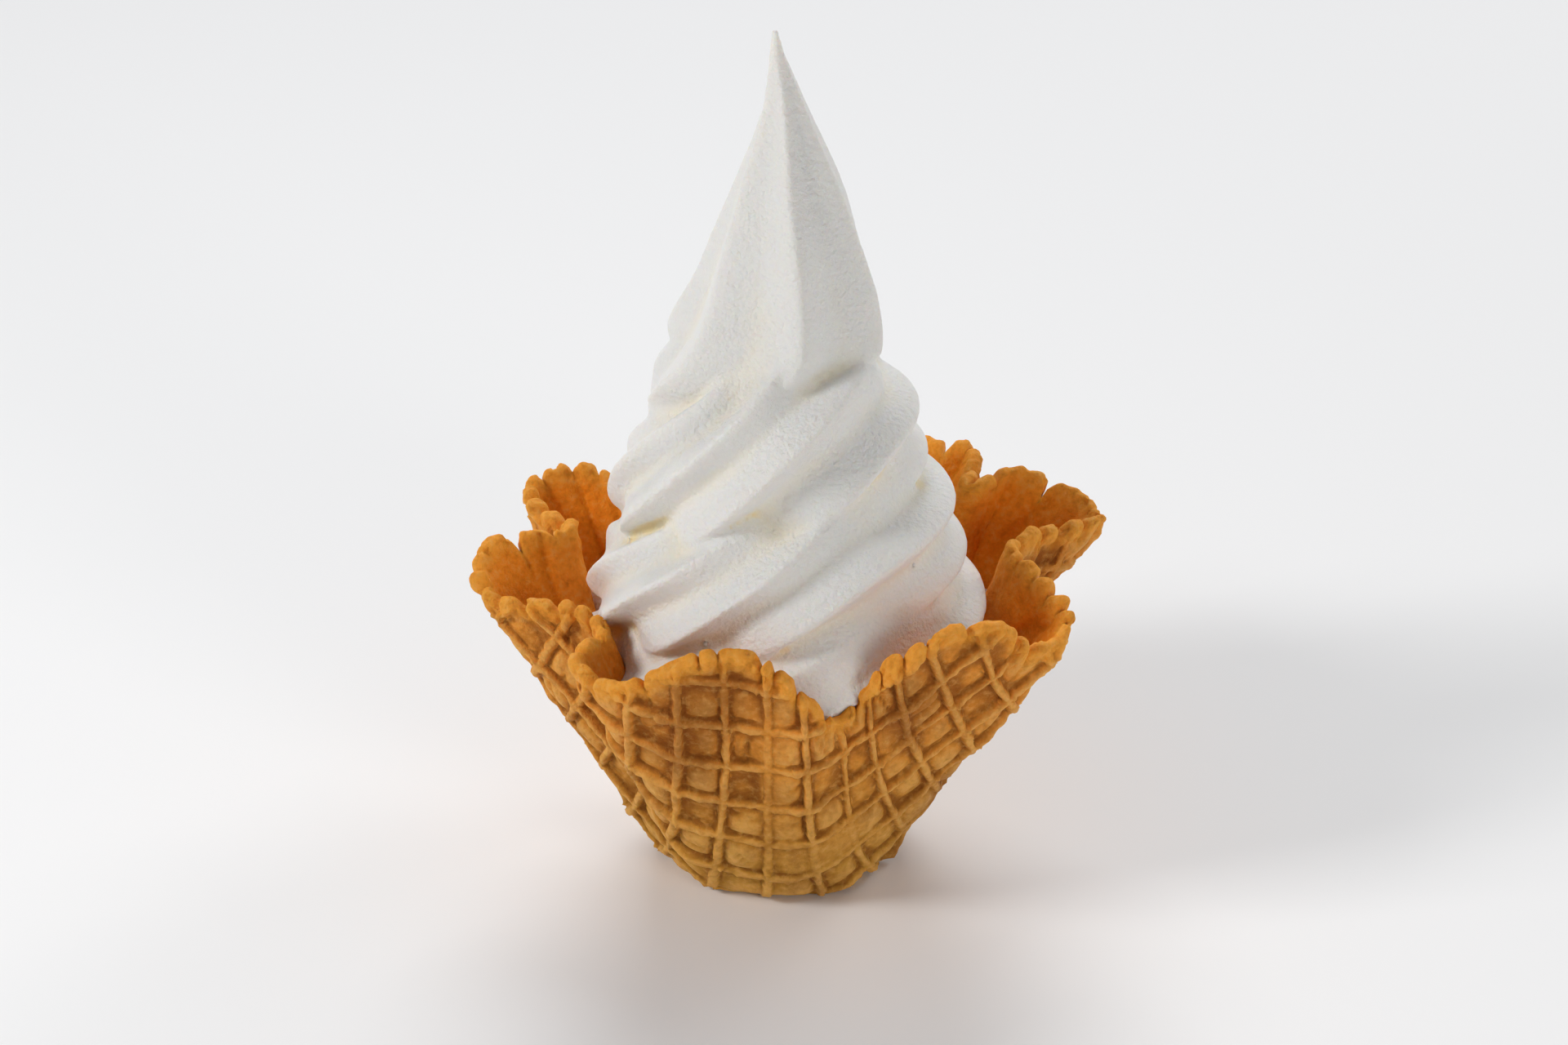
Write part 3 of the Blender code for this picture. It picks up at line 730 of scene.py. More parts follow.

# %% [markdown]
# ## Toasted waffle
#
# The crust is golden brown. Low down it carries painted shade and a painted yellow bounce, so it is darker
# and yellower at the foot and redder towards the rim. It carries a painted highlight on the bars' crests,
# which are paler, and painted shade in the hollows, which are browner, as are the toasted patches. Inside
# it is deep orange, its own colour with a painted glow of light through the thin sheet, and the thin lip is
# brighter orange, a painted glow of light shining through it. A picture could be wrapped round the waffle,
# but a sheet that is folded like this would smear it. Instead each of these facts is a number on the mesh
# or a noise, and it brings its own colour over the ones before. Light wanders inside baked dough, so the
# shader has some subsurface scattering, with red light going furthest. Two bumps give the grain that is too
# fine for the mesh.

# %% Shader helpers
MIX_FACTOR, MIX_FIRST, MIX_SECOND, MIX_RESULT = 0, 6, 7, 2


def feed(tree, target, inputs):
    """Set a node's inputs to values, or link them to the outputs of other nodes."""
    for socket, value in dict(inputs).items():
        if isinstance(value, bpy.types.NodeSocket):
            tree.links.new(value, target.inputs[socket])
        else:
            target.inputs[socket].default_value = value


def node(tree, kind, inputs=(), **settings):
    """Add a shader node, with its settings made and its inputs filled or linked."""
    made = tree.nodes.new(kind)
    for name, value in settings.items():
        setattr(made, name, value)
    feed(tree, made, inputs)
    return made


def blended(tree, share, first, second):
    """A colour between two, by a share that changes over the surface."""
    inputs = {MIX_FACTOR: share, MIX_FIRST: first, MIX_SECOND: second}
    return node(tree, "ShaderNodeMix", inputs, data_type="RGBA").outputs[MIX_RESULT]


def stretched(tree, value, low, high, start=0.0, end=1.0):
    """A value, stretched so that low becomes start and high becomes end, and held there."""
    inputs = {"Value": value, "From Min": low, "From Max": high, "To Min": start, "To Max": end}
    return node(tree, "ShaderNodeMapRange", inputs).outputs["Result"]


def painted(tree, name):
    """The number painted on the mesh under this name."""
    return node(tree, "ShaderNodeAttribute", attribute_name=name).outputs["Fac"]


def mottle(tree, place, size, detail=3.0, roughness=0.55):
    """Noise whose patches have the given size."""
    inputs = {"Vector": place, "Scale": 1.0 / size, "Detail": detail, "Roughness": roughness}
    return node(tree, "ShaderNodeTexNoise", inputs).outputs["Fac"]


def bumped(tree, height, strength, distance, **under):
    """The normals of a bump, which may lie over another one, given as Normal."""
    inputs = {"Height": height, "Strength": strength, "Distance": distance, **under}
    return node(tree, "ShaderNodeBump", inputs).outputs["Normal"]


def new_material(name):
    """An empty node material: its tree, its shader and the place on the object."""
    made = bpy.data.materials.new(name)
    made.use_nodes = True
    tree = made.node_tree
    place = node(tree, "ShaderNodeTexCoord").outputs["Object"]
    return made, tree, tree.nodes["Principled BSDF"], place


print("shader helpers ready")

# %% Waffle material
CRUST_FOOT_SHADE = (0.61, 0.295, 0.040, 1.0)
CRUST_HIGH = (0.87, 0.33, 0.043, 1.0)
CRUST_PALE_AND_HIGHLIGHT = (0.97, 0.53, 0.14, 1.0)
CRUST_BROWN_AND_SHADE = (0.22, 0.052, 0.005, 1.0)
CRUST_LIP_GLOW = (0.99, 0.40, 0.042, 1.0)
CRUST_LINING_AND_GLOW = (0.97, 0.275, 0.006, 1.0)
FOOT_SHADE_HEIGHTS = (8.0 * MM, 45.0 * MM)
PATCH_SIZE, FLECK_SIZE = 9.0 * MM, 1.5 * MM
GRAIN_SIZE, GRAIN_HEIGHT = 1.1 * MM, 0.8 * MM
PORE_SIZE, PORE_DEPTH = 0.9 * MM, 0.2 * MM


def waffle_material():
    """Golden brown baked waffle."""
    made, tree, shader, place = new_material("toasted waffle")
    hollow, lip, lining, toast = (painted(tree, name) for name in ("hollow", "lip", "lining", "toast"))
    patch = mottle(tree, place, PATCH_SIZE)
    fleck = mottle(tree, place, FLECK_SIZE, detail=4.0)
    height = node(tree, "ShaderNodeSeparateXYZ", {"Vector": place}).outputs["Z"]
    # painted shade and a painted yellow bounce at the foot: darker and yellower low down, redder up high
    colour = blended(tree, stretched(tree, height, *FOOT_SHADE_HEIGHTS), CRUST_FOOT_SHADE, CRUST_HIGH)
    # painted highlight on the crests and painted shade in the hollows; patches, toast and flecks are the
    # crust's own tone
    for value, start, end, most, tint in (
            (hollow, 0.0, -1.0, 0.5, CRUST_PALE_AND_HIGHLIGHT),
            (hollow, 0.0, 0.9, 0.6, CRUST_BROWN_AND_SHADE),
            (patch, 0.5, 0.72, 0.4, CRUST_BROWN_AND_SHADE),
            (toast, 0.0, 1.0, 0.5, CRUST_BROWN_AND_SHADE),
            # the lining's own deep orange with a painted glow of light through the sheet, then a painted
            # glow on the thin lip
            (lining, 0.3, 0.7, 0.85, CRUST_LINING_AND_GLOW),
            (lip, 0.3, 1.0, 0.8, CRUST_LIP_GLOW),
            (fleck, 0.5, 0.75, 0.3, CRUST_BROWN_AND_SHADE),
            (fleck, 0.48, 0.3, 0.35, CRUST_PALE_AND_HIGHLIGHT)):
        colour = blended(tree, stretched(tree, value, start, end, 0.0, most), colour, tint)
    grain = bumped(tree, mottle(tree, place, GRAIN_SIZE, detail=5.0, roughness=0.7), 1.0, GRAIN_HEIGHT)
    pores = node(tree, "ShaderNodeTexVoronoi", {"Vector": place, "Scale": 1.0 / PORE_SIZE})
    pore_height = stretched(tree, pores.outputs["Distance"], 0.05, 0.45)
    feed(tree, shader, {
        "Base Color": colour,
        "Roughness": stretched(tree, fleck, 0.3, 0.7, 0.5, 0.75),
        "Specular IOR Level": 0.14,
        "Subsurface Weight": 0.25,
        "Subsurface Radius": (1.0, 0.36, 0.1),
        "Subsurface Scale": 1.4 * MM,
        "Normal": bumped(tree, pore_height, 0.3, PORE_DEPTH, Normal=grain),
    })
    return made


bowl.data.materials.append(waffle_material())
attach(bowl, "root")
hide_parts("waffle_bowl")
print(bowl.name, "stands for waffle_bowl")

# %% [markdown]
# ## The rope of soft serve
#
# A soft serve machine has a star-shaped nozzle, so the rope has ridges: six here, narrow in front and
# rounder at the right, with hollows between. The rope lies in coils that get smaller as they climb, and
# it twists as it is laid, so the ridges run slantwise over each coil. Its path is a short table by turn,
# and so are its twist and the shape of its ridges. A curve with a bevel could follow the path, but it
# can't slump or twist this freely, so each ring of the rope is placed by a function.

# %% The rope's path, twist and ridges, by turn in degrees
# Turn, reach, height and shift to the back in mm, and tallness.
COIL = (
    (0, 22, 30, 0, 0.86), (180, 21, 40.4, 0, 0.86), (345, 25.8, 51.5, 0, 0.88), (365, 25.5, 53, 0, 0.88),
    (400, 20, 54.5, 0, 0.86), (540, 20, 61.3, 1.2, 0.86), (680, 20.2, 70, 2.2, 0.92),
    (705, 20.2, 71.4, 2.4, 0.92), (722, 19.5, 72.3, 2.5, 0.92), (752, 15, 73.8, 2.7, 0.92),
    (800, 14, 76.1, 3.0, 0.92), (900, 16, 81, 3.6, 0.92), (990, 14.2, 86.2, 4.1, 1.12),
    (1065, 12.8, 89.6, 4.4, 0.95), (1083, 12.2, 90.4, 4.5, 0.95), (1115, 8.5, 92.0, 4.6, 0.92),
    (1260, 8, 98.5, 5, 0.9), (1350, 5, 103, 5, 0.9),
)
# Turn, and how far the coil climbs in front and sinks at the back, in mm.
COIL_LEAN = ((0, 2), (360, 3), (720, 4), (990, 7.5), (1080, 5.5), (1350, 2))
COIL_LEAN_AZIMUTH = 285.0
# Turn, and how far the ridges have turned round the rope, in degrees.
TWIST = (
    (60, -620), (280, -319), (311, -298), (345, -281), (375, -272), (400, -250), (554, 14), (570, 44),
    (600, 92), (640, 160), (660, 181), (690, 196), (708, 201), (735, 208), (760, 240), (918, 497),
    (936, 521), (958, 552), (1000, 611), (1020, 634), (1042, 655), (1062, 671), (1080, 682), (1105, 692),
    (1140, 740), (1350, 1060),
)
# Turn, depth of the ridges, their roundness, and how much they are squeezed together outside.
RIDGE_SHAPE = (
    (60, 0.29, 0.2, 0), (310, 0.29, 0.2, 0), (340, 0.36, 0.8, 0.4), (385, 0.36, 0.8, 0.4),
    (410, 0.29, 0.3, 0), (470, 0.12, 0.3, 0), (530, 0.16, 0.3, 0), (560, 0.28, 0.2, 0), (670, 0.29, 0.2, 0),
    (703, 0.36, 0.8, 0.4), (750, 0.36, 0.8, 0.4), (775, 0.29, 0.3, 0), (830, 0.12, 0.3, 0),
    (890, 0.18, 0.3, 0), (920, 0.29, 0.2, 0), (1030, 0.29, 0.2, 0), (1063, 0.34, 0.8, 0.4),
    (1105, 0.34, 0.8, 0.4), (1140, 0.2, 0.3, 0), (1230, 0.04, 0.3, 0), (1350, 0.04, 0.3, 0),
)
COIL_BLEND, RIDGE_BLEND, BLEND_SAMPLES = 12.0, 10.0, 9


def read_table(table, position, blend):
    """The table's values at a position, with its corners rounded over the blend."""
    rows = np.array(table, dtype=float)
    nearby = np.linspace(position - blend, position + blend, BLEND_SAMPLES)
    return [np.interp(nearby, rows[:, 0], column).mean() for column in rows.T[1:]]


turn_range, twist_range = (TWIST[-1][column] - TWIST[0][column] for column in (0, 1))
print("the rope is laid through", turn_range, "degrees and twists by", twist_range)

# %% The rope's section
RIDGES, CREST_ROUNDING = 6, 0.07
SQUEEZE_MIDDLE = math.radians(-6.5)
FOOT_SPREAD = 0.16


def ridge_profile(angle, depth, roundness):
    """Radius of the ridged section, 1 at a crest: narrow at roundness 0, a full lobe at 1."""
    narrow = np.hypot(np.sin(0.5 * RIDGES * angle), CREST_ROUNDING)
    lobed = 1.0 - np.hypot(np.cos(0.5 * RIDGES * angle), CREST_ROUNDING)
    between = (1.0 - roundness) * narrow + roundness * lobed
    return 1.0 - depth * np.clip(between, 0.0, 1.0)


def squeezed(section, squeeze):
    """The section's angles, run faster at its outer and inner sides, so that ridges lie closer there."""
    return section + 0.5 * squeeze * np.sin(2.0 * (section - SQUEEZE_MIDDLE))


def pressed_foot(section):
    """How much wider the rope is low on its outer side, where its weight presses it on the coil below."""
    low_outside = (np.sin(section) < 0.0) & (np.cos(section) > 0.0)
    return 1.0 + FOOT_SPREAD * np.where(low_outside, np.sin(2.0 * section) ** 2, 0.0)


hollow_middle = float(ridge_profile(math.pi / RIDGES, *RIDGE_SHAPE[0][1:3]))
print("between two ridges the rope's radius is", round(hollow_middle, 2), "of a crest's")

# %% Rings of the rope
TURN_START, TURN_END, TURN_STEP = 60.0, 1350.0, 1.5
ROPE_CREST, ROPE_SLUMP = 15.2 * MM, 0.2
ROPE_TAIL_TURN, ROPE_TAIL = 1255.0, 0.4
SECTION_POINTS = 168
SECTION = np.linspace(0.0, 2.0 * math.pi, SECTION_POINTS, endpoint=False)


def rope_size(turn):
    """Share of the rope's full size, which shrinks towards its tail."""
    return np.interp(turn, (ROPE_TAIL_TURN, TURN_END), (1.0, ROPE_TAIL))


def ring_on_path(turn, reach, height, back, across, rise):
    """A ring of points about the path, slumped outwards where it is low."""
    azimuth = math.radians(turn)
    outer = reach * MM + across - ROPE_SLUMP * rise
    return np.column_stack(
        [outer * math.cos(azimuth), outer * math.sin(azimuth) + back * MM, height * MM + rise])


def rope_section(turn):
    """One ring of the rope at a turn, in degrees."""
    reach, height, back, tallness = read_table(COIL, turn, COIL_BLEND)
    lean = read_table(COIL_LEAN, turn, COIL_BLEND)[0]
    height += lean * math.cos(math.radians(turn - COIL_LEAN_AZIMUTH))
    depth, roundness, squeeze = read_table(RIDGE_SHAPE, turn, RIDGE_BLEND)
    angle = squeezed(SECTION, squeeze) - math.radians(read_table(TWIST, turn, RIDGE_BLEND)[0])
    size = ROPE_CREST * rope_size(turn)
    radius = size * ridge_profile(angle, depth, roundness) * pressed_foot(SECTION)
    rise = radius * np.sin(SECTION) * tallness
    return ring_on_path(turn, reach, height, back, radius * np.cos(SECTION), rise)


rope_rings = [rope_section(turn) for turn in np.arange(TURN_START, TURN_END, TURN_STEP)]
print(len(rope_rings), "rings of rope")

# %% [markdown]
# Where a coil rests on the next, its weight closes the gap between them. Pressing the soft rope together
# would take a simulation. Instead a plain inner rope along the same path, narrower but taller, fills
# those gaps from inside, so that the coils meet in creases and not in holes.

# %% Rings of the inner rope
# Turn, half width and half height in mm.
CORE = (
    (60, 9.0, 15.0), (160, 9.0, 15.0), (195, 12.0, 19.0), (325, 12.0, 19.0), (355, 9.0, 15.0),
    (930, 9.0, 15.0), (955, 10.5, 17.5), (1010, 10.5, 17.5), (1040, 9.0, 15.0), (1350, 9.0, 15.0),
)
CORE_FULLNESS = 0.75
CORE_SECTION = np.linspace(0.0, 2.0 * math.pi, SECTION_POINTS // 2, endpoint=False)


def core_section(turn):
    """One ring of the inner rope at a turn, in degrees."""
    reach, height, back, _ = read_table(COIL, turn, COIL_BLEND)
    core_reach, core_rise = read_table(CORE, turn, RIDGE_BLEND)
    size = MM * rope_size(turn)
    round_ring = rays(CORE_SECTION).T
    boxy = np.sign(round_ring) * np.abs(round_ring) ** CORE_FULLNESS
    return ring_on_path(turn, reach, height, back, core_reach * size * boxy[0], core_rise * size * boxy[1])


core_rings = [core_section(turn) for turn in np.arange(TURN_START, TURN_END, 2.0 * TURN_STEP)]
print(len(core_rings), "rings of inner rope")

# %% [markdown]
# ## The peak and the filling
#
# When the lever is let go, the bowl is pulled down and the rope draws out into a point. That peak is a
# stack of level rings with the same six ridges, which turn as they rise and shrink to nothing. At the
# front right its foot hangs over the upper coil like a skirt, with a hollow under it, so the rings there
# swell down to the skirt's height and draw in below. Under the coils the cream fills the bowl, so more
# level rings reach just short of the bowl's own wall. A drawn outline would miss the folded wall
# somewhere, so its reach is found by casting rays.

# %% Rings of the peak
# Height, shift to the right and size of the crests in mm, and a crest's direction in degrees.
PEAK = (
    (79, -2.6, 20.0, 203), (84, -2.6, 20.7, 215), (88, -2.4, 21.6, 225), (92, -2.0, 22.2, 238),
    (97, -1.6, 22.3, 255), (101, -1.2, 22.2, 266), (105, -0.5, 21.6, 277), (109.5, 0.6, 20.2, 282),
    (115.5, 1.8, 18.1, 280), (123.5, 2.3, 15.6, 277), (130.5, 2.5, 13.0, 274), (137.5, 2.4, 10.2, 271),
    (143.5, 2.2, 7.4, 270), (150.5, 1.8, 4.6, 269), (156.5, 1.0, 2.8, 268), (161.5, 0.2, 1.4, 268),
    (165.4, 0.0, 0.7, 268),
)
PEAK_BACK = 5.0 * MM
PEAK_RIDGES = (0.22, 0.1)
PEAK_STEP, PEAK_BLEND = 0.5 * MM, 1.5
SKIRT_AZIMUTH, SKIRT_SPREAD = math.radians(314.0), math.radians(30.0)
SKIRT_HEIGHT = 106.5 * MM
SKIRT_RISE, SKIRT_DROP = 8.0 * MM, 2.4 * MM
SKIRT_BULGE, SKIRT_UNDERCUT = 0.9 * MM, 3.5 * MM


def level_ring(radius, height, middle=(0.0, 0.0)):
    """A level ring of points, with these radii about its middle."""
    return np.column_stack([middle + radius[:, None] * rays(SECTION), np.full_like(SECTION, height)])


def peak_section(height):
    """One level ring of the peak at a height."""
    shift, crest, ridge = read_table(PEAK, height / MM, PEAK_BLEND)
    radius = crest * MM * ridge_profile(SECTION - math.radians(ridge), *PEAK_RIDGES)
    turned = (SECTION - SKIRT_AZIMUTH + math.pi) % (2.0 * math.pi) - math.pi
    above = height > SKIRT_HEIGHT
    share = math.exp(-(((height - SKIRT_HEIGHT) / (SKIRT_RISE if above else SKIRT_DROP)) ** 2))
    skirt = SKIRT_BULGE * share - (0.0 if above else SKIRT_UNDERCUT * (1.0 - share))
    radius = radius + skirt * falloff(turned, SKIRT_SPREAD)
    return level_ring(radius, height, (shift * MM, PEAK_BACK))


peak_rings = [peak_section(height) for height in np.arange(PEAK[0][0] * MM, PEAK[-1][0] * MM, PEAK_STEP)]
print(len(peak_rings), "rings of peak, up to", in_mm(peak_rings[-1][0][2]), "mm")

# %% Rings of the filling
FILL_TOP, FILL_SHOULDER, FILL_TOP_SHARE = 51.0 * MM, 11.0 * MM, 0.72
FILL_LEFT, FILL_RIGHT_SHARE = math.radians(205.0), 0.6
FILL_LEVELS = 30
LOWEST_RIM = 45.0 * MM
WALL_GAP, FLOOR_GAP = 0.12 * MM, 0.5 * MM

wall = BVHTree.FromObject(bowl, bpy.context.evaluated_depsgraph_get())


def wall_reach(azimuth, height):
    """How far the bowl's inner wall is from the axis, or None above the rim."""
    hit = wall.ray_cast(Vector((0.0, 0.0, height)), Vector((math.cos(azimuth), math.sin(azimuth), 0.0)))
    return hit[3]


def fill_section(height):
    """One level ring of the cream in the bottom of the bowl."""
    below_top = min(1.0, (FILL_TOP - height) / FILL_SHOULDER)
    rounding = math.sqrt(1.0 - (1.0 - below_top) ** 2)
    pull = FILL_TOP_SHARE + (1.0 - FILL_TOP_SHARE) * rounding
    reach = np.array([wall_reach(angle, min(height, LOWEST_RIM)) - WALL_GAP for angle in SECTION]) * pull
    above = max(0.0, height - LOWEST_RIM) / (FILL_TOP - LOWEST_RIM)
    reach = reach * (1.0 - above * (1.0 - FILL_RIGHT_SHARE) * (0.5 - 0.5 * np.cos(SECTION - FILL_LEFT)))
    return level_ring(reach, height)


fill_floor = SHEET_THICKNESS + FLOOR_GAP + LINING_SWELL
fill_rings = [fill_section(height) for height in np.linspace(fill_floor, FILL_TOP, FILL_LEVELS)]
print(len(fill_rings), "rings of filling")

# %% [markdown]
# ## One body of cream
#
# The rope, the peak and the filling overlap, as fresh cream flows together. A Boolean union would leave
# hard lines where they cross. A voxel remesh joins them into one closed skin. Swelling that skin a
# little, remeshing it and shrinking it again closes the thin gaps, as cream does where two coils touch. A
# little smoothing takes the voxels' steps away.


# %% Tubes over the rings
def tube(rings, first):
    """Points and faces of a closed tube over the rings; first is the number of its first point."""
    count = len(rings[0])
    around = np.arange(count)
    after = np.roll(around, -1)
    faces = []
    for ring in range(len(rings) - 1):
        low, high = first + ring * count, first + (ring + 1) * count
        faces += np.stack([low + around, low + after, high + after, high + around], axis=1).tolist()
    faces.append((first + around[::-1]).tolist())
    faces.append((first + (len(rings) - 1) * count + around).tolist())
    return np.vstack(rings), faces


print("the filling's tube has", len(tube(fill_rings, 0)[1]), "faces")

# %% Join and smooth the cream
REMESH_SIZE, GAP_CLOSING = 0.55 * MM, 0.55 * MM
SMOOTHING, SMOOTH_ROUNDS = 0.5, 2


def evaluated_copy(item, name):
    """A new object with the item's modifiers applied; the item is removed."""
    graph = bpy.context.evaluated_depsgraph_get()
    data = bpy.data.meshes.new_from_object(item.evaluated_get(graph))
    bpy.data.objects.remove(item, do_unlink=True)
    return linked(name, data)


def joined_cream():
    """Rope, peak and filling as one smooth closed mesh."""
    points, faces = [], []
    for rings in (rope_rings, core_rings, peak_rings, fill_rings):
        ring_points, ring_faces = tube(rings, sum(len(part) for part in points))
        points.append(ring_points)
        faces += ring_faces
    data = bpy.data.meshes.new("cream")
    data.from_pydata(np.vstack(points).tolist(), [], faces)
    rough = linked("cream", data)
    for grow in (GAP_CLOSING, -GAP_CLOSING):
        remesh = rough.modifiers.new("join", "REMESH")
        remesh.mode = "VOXEL"
        remesh.voxel_size = REMESH_SIZE
        swell = rough.modifiers.new("close gaps", "DISPLACE")
        swell.mid_level = 0.0
        swell.strength = grow
    settle = rough.modifiers.new("settle", "SMOOTH")
    settle.factor = SMOOTHING
    settle.iterations = SMOOTH_ROUNDS
    return evaluated_copy(rough, "soft_serve_skin")


cream = joined_cream()
print(cream.name, len(cream.data.polygons), "faces", in_mm(cream.dimensions))

# %% [markdown]
# Fresh soft serve sags a little and has a faint frost. A sculpting brush could add both, but a rule gives
# them again each run, so noise moves the points along their normals, as on the waffle. The mesh is
# thinned first, to a size that is easy to share. Real cream also never passes through the bowl. Cutting
# it with the bowl would leave a hard edge, so it is drawn in wherever it would come nearer than the gap.
# Between the petals the rim is low, and there the limit is the wall carried on a little above the rim,
# leaning outwards.


# %% Sag, frost and the wall
CREAM_TRIANGLES = 190000
SAG_LAYERS = ((0.22 * MM, 9.0 * MM, 71), (0.05 * MM, 1.3 * MM, 72))
RIM_STEPS, RIM_STEP, RIM_LEAN = 7, 1.0 * MM, 0.5


def cream_limit(azimuth, height):
    """How far cream may reach: short of the wall and, above the rim, short of the wall carried on."""
    for step in range(RIM_STEPS):
        reach = wall_reach(azimuth, height - step * RIM_STEP)
        if reach is not None:
            return reach + RIM_LEAN * step * RIM_STEP - WALL_GAP
    return None


def kept_off_wall(points):
    """The points, drawn in where they would come nearer to the bowl than the gap."""
    moved = points.copy()
    moved[:, 2] = np.maximum(moved[:, 2], fill_floor)
    azimuths = np.arctan2(moved[:, 1], moved[:, 0])
    reaches = np.hypot(moved[:, 0], moved[:, 1])
    low = np.nonzero(moved[:, 2] < bowl.dimensions.z)[0]
    for index in low:
        limit = cream_limit(azimuths[index], moved[index, 2])
        if limit is not None and reaches[index] > limit:
            moved[index, :2] *= limit / reaches[index]
    return moved


def thinned(item, triangles):
    """The item with about this many triangles."""
    item.modifiers.new("split", "TRIANGULATE")
    thin = item.modifiers.new("thin", "DECIMATE")
    thin.ratio = min(1.0, triangles / (2.0 * len(item.data.polygons)))
    return evaluated_copy(item, "soft_serve_skin")


cream = thinned(cream, CREAM_TRIANGLES)
settled = places(cream.data)
settled = settled + normals(cream.data) * layered(settled, 0.0, SAG_LAYERS)[:, None]
move_points(cream.data, kept_off_wall(settled))
cream.data.shade_smooth()
print(cream.name, len(cream.data.polygons), "triangles")

# %% [markdown]
# ## Cool, matt cream
#
# Soft serve is nearly white, but light goes several millimetres into it and comes back warmer. In the deep
# creases between ridges it gathers as a buttery yellow. Subsurface scattering gives part of that, but the
# creases look grey with it alone, so a little yellow light is painted there. The hollows are painted at two
# sizes: fine for those creases, which are yellow only here and there, and broad for the valleys between
# coils, which get a painted warm shade. A frosty bump breaks up the highlights.

# %% Cream material
CREASE_ROUNDS, CREASE_DEPTH = 60, 1.1 * MM
VALLEY_ROUNDS, VALLEY_DEPTH = 220, 3.0 * MM
CREAM = (0.835, 0.825, 0.795, 1.0)
CREAM_WARM_SHADE = (0.89, 0.82, 0.67, 1.0)
CREAM_CREASE_GLOW = (0.90, 0.72, 0.36, 1.0)
CREASE_GLOW_SIZE, FROST_SIZE, FROST_HEIGHT = 14.0 * MM, 1.0 * MM, 0.65 * MM


def cream_material():
    """Nearly white soft serve, with painted yellow light in its creases and painted warm shade in its
    valleys.
    """
    made, tree, shader, place = new_material("soft serve cream")
    crease, valley = painted(tree, "crease"), painted(tree, "valley")
    here_and_there = stretched(tree, mottle(tree, place, CREASE_GLOW_SIZE, detail=1.0), 0.4, 0.6)
    both = node(tree, "ShaderNodeMath", {0: crease, 1: here_and_there}, operation="MULTIPLY")
    crease_glow = both.outputs["Value"]
    # painted warm shade in the broad valleys between coils
    colour = blended(tree, stretched(tree, valley, 0.04, 0.6, 0.0, 0.85), CREAM, CREAM_WARM_SHADE)
    # painted yellow light in the fine creases, here and there
    colour = blended(tree, stretched(tree, crease_glow, 0.55, 0.95, 0.0, 0.8), colour, CREAM_CREASE_GLOW)
    feed(tree, shader, {
        "Base Color": colour,
        "Roughness": 0.48,
        "Specular IOR Level": 0.4,
        "Subsurface Weight": 0.55,
        "Subsurface Radius": (1.0, 0.72, 0.45),
        "Subsurface Scale": 1.8 * MM,
        "Normal": bumped(tree, mottle(tree, place, FROST_SIZE, detail=4.0), 1.0, FROST_HEIGHT),
    })
    return made


paint(cream.data, "crease", np.clip(hollow_depth(cream.data, CREASE_ROUNDS) / CREASE_DEPTH, 0.0, 1.0))
paint(cream.data, "valley", np.clip(hollow_depth(cream.data, VALLEY_ROUNDS) / VALLEY_DEPTH, 0.0, 1.0))
cream.data.materials.append(cream_material())
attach(cream, "root")
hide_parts("soft_serve")
print(cream.name, "stands for soft_serve")

# %% [markdown]
# ## Floor, light and camera
#
# The dessert stands on a pale floor, in daylight from behind. One big area light there would leave the
# far floor dark, so that daylight is a sun with a very wide angle, like open sky, and it lights the floor
# evenly to the horizon. A side window on the left lights the petals' insides, and a light in the back
# corner on the right rims the coils. A low fill in front on the right opens the shadows, and the pale
# room does the rest.

# %% Floor
FLOOR_RADIUS, FLOOR_SIDES = 6.0, 96
FLOOR_COLOURS = (0.87, 0.87, 0.87, 1.0), (0.885, 0.885, 0.885, 1.0)
FLOOR_PATCH = 0.4


def build_floor():
    """A wide round floor."""
    turns = 2.0 * math.pi * np.arange(FLOOR_SIDES) / FLOOR_SIDES
    ring = np.column_stack([rays(turns) * FLOOR_RADIUS, np.zeros(FLOOR_SIDES)])
    data = bpy.data.meshes.new("floor")
    data.from_pydata(ring.tolist(), [], [list(range(FLOOR_SIDES))])
    finish, tree, shader, place = new_material("pale floor")
    tint = blended(tree, mottle(tree, place, FLOOR_PATCH), *FLOOR_COLOURS)
    feed(tree, shader, {"Base Color": tint, "Roughness": 0.6})
    data.materials.append(finish)
    return linked("floor", data)


build_floor()
print("floor laid")

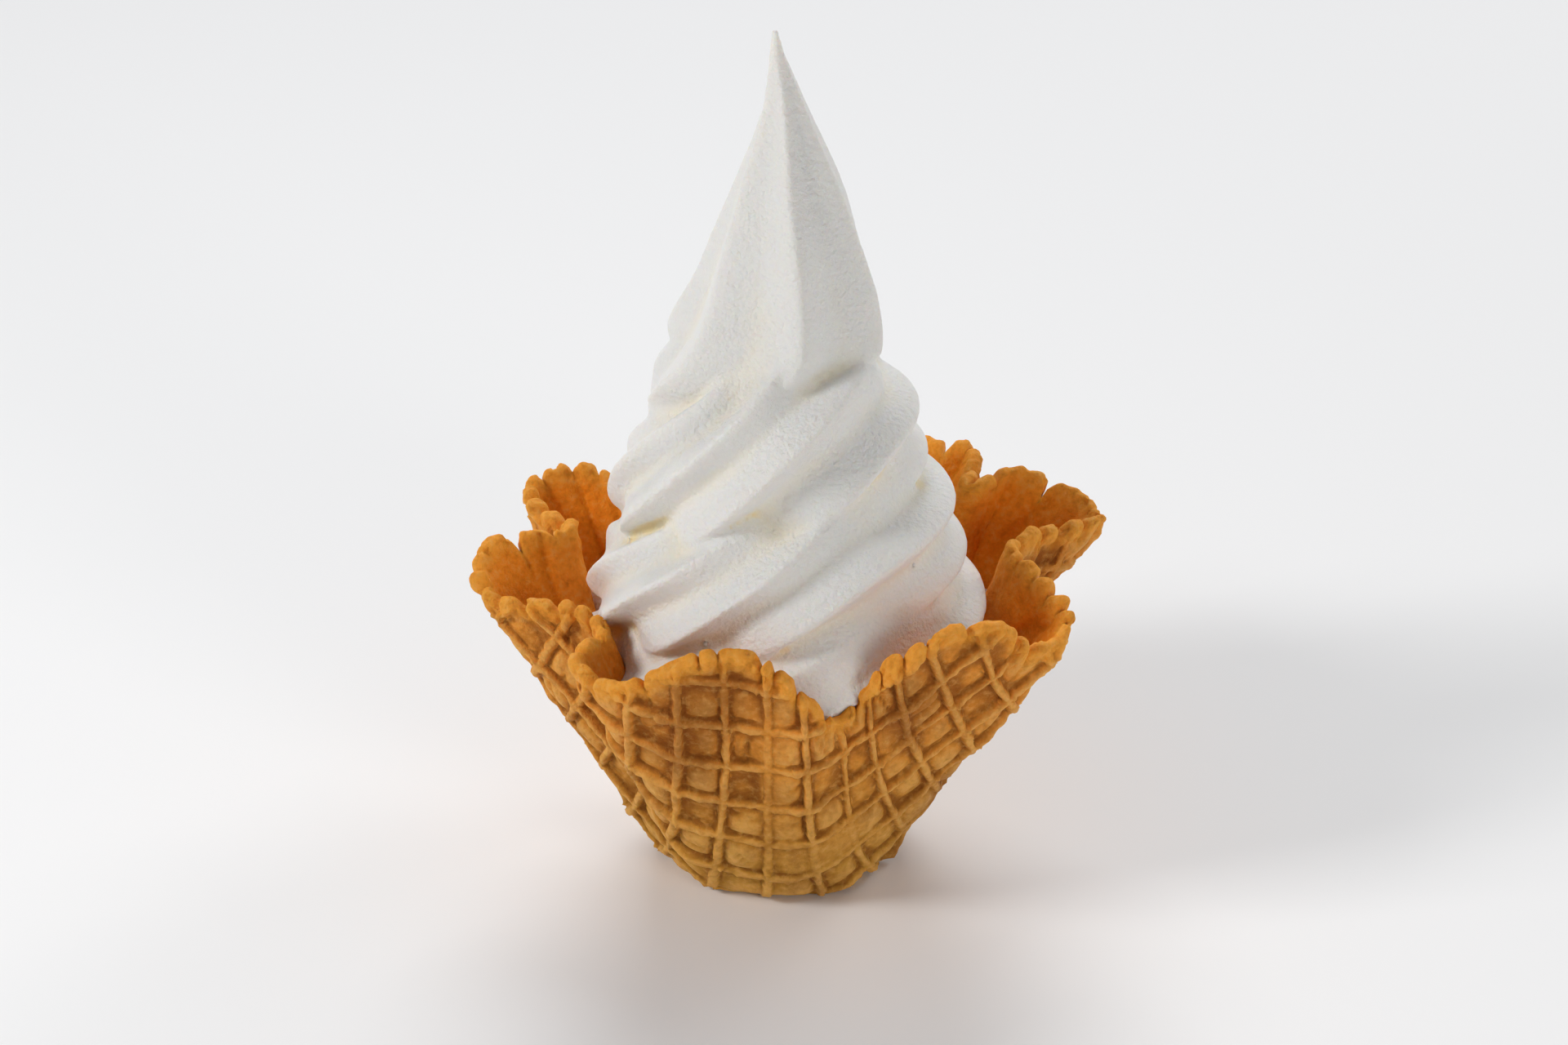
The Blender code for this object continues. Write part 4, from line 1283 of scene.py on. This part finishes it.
# %% Lights
# Place and width in metres, watts, and colour.
LIGHTS = {
    "side window": ((-1.05, -0.35, 0.75), 0.35, 8.8, (1.0, 0.99, 0.98)),
    "back corner": ((1.0, 0.75, 0.8), 0.5, 4.3, (1.0, 0.99, 0.98)),
    "front fill": ((0.75, -0.95, 0.36), 0.4, 3.8, (1.0, 0.975, 0.94)),
}
SKY_PLACE, SKY_ANGLE = (-0.05, 1.15, 1.0), math.radians(37.0)
SKY_STRENGTH, SKY_COLOUR = 1.62, (0.98, 0.99, 1.0)
WORLD_STRENGTH, WORLD_COLOUR = 0.20, (0.93, 0.95, 1.0, 1.0)
LOOK_AT = Vector((0.0016, 0.0, 0.0698))


def add_light(name, kind, place, strength, colour):
    """A light that faces the dessert."""
    lamp = bpy.data.lights.new(name, kind)
    lamp.energy = strength
    lamp.color = colour
    made = linked(name, lamp)
    made.location = place
    made.rotation_euler = (LOOK_AT - made.location).to_track_quat("-Z", "Y").to_euler()
    return lamp


add_light("open sky", "SUN", SKY_PLACE, SKY_STRENGTH, SKY_COLOUR).angle = SKY_ANGLE
for name, (place, width, watts, colour) in LIGHTS.items():
    add_light(name, "AREA", place, watts, colour).size = width
world = bpy.data.worlds.new("pale room")
world.use_nodes = True
background = world.node_tree.nodes["Background"]
feed(world.node_tree, background, {"Color": WORLD_COLOUR, "Strength": WORLD_STRENGTH})
bpy.context.scene.world = world
bpy.context.scene.view_settings.view_transform = "Standard"
print("the sky and", len(LIGHTS), "lights")

# %% Camera
CAMERA_PITCH, CAMERA_DISTANCE = math.radians(27.5), 0.691
CAMERA_LENS = 85.0


def add_camera():
    """The camera at the photograph's angle."""
    made = linked("camera", bpy.data.cameras.new("camera"))
    made.data.lens = CAMERA_LENS
    ahead = Vector((0.0, math.cos(CAMERA_PITCH), -math.sin(CAMERA_PITCH)))
    made.location = LOOK_AT - ahead * CAMERA_DISTANCE
    made.rotation_euler = ahead.to_track_quat("-Z", "Y").to_euler()
    return made


bpy.context.scene.camera = add_camera()
print("camera at", [round(value, 3) for value in bpy.context.scene.camera.location])
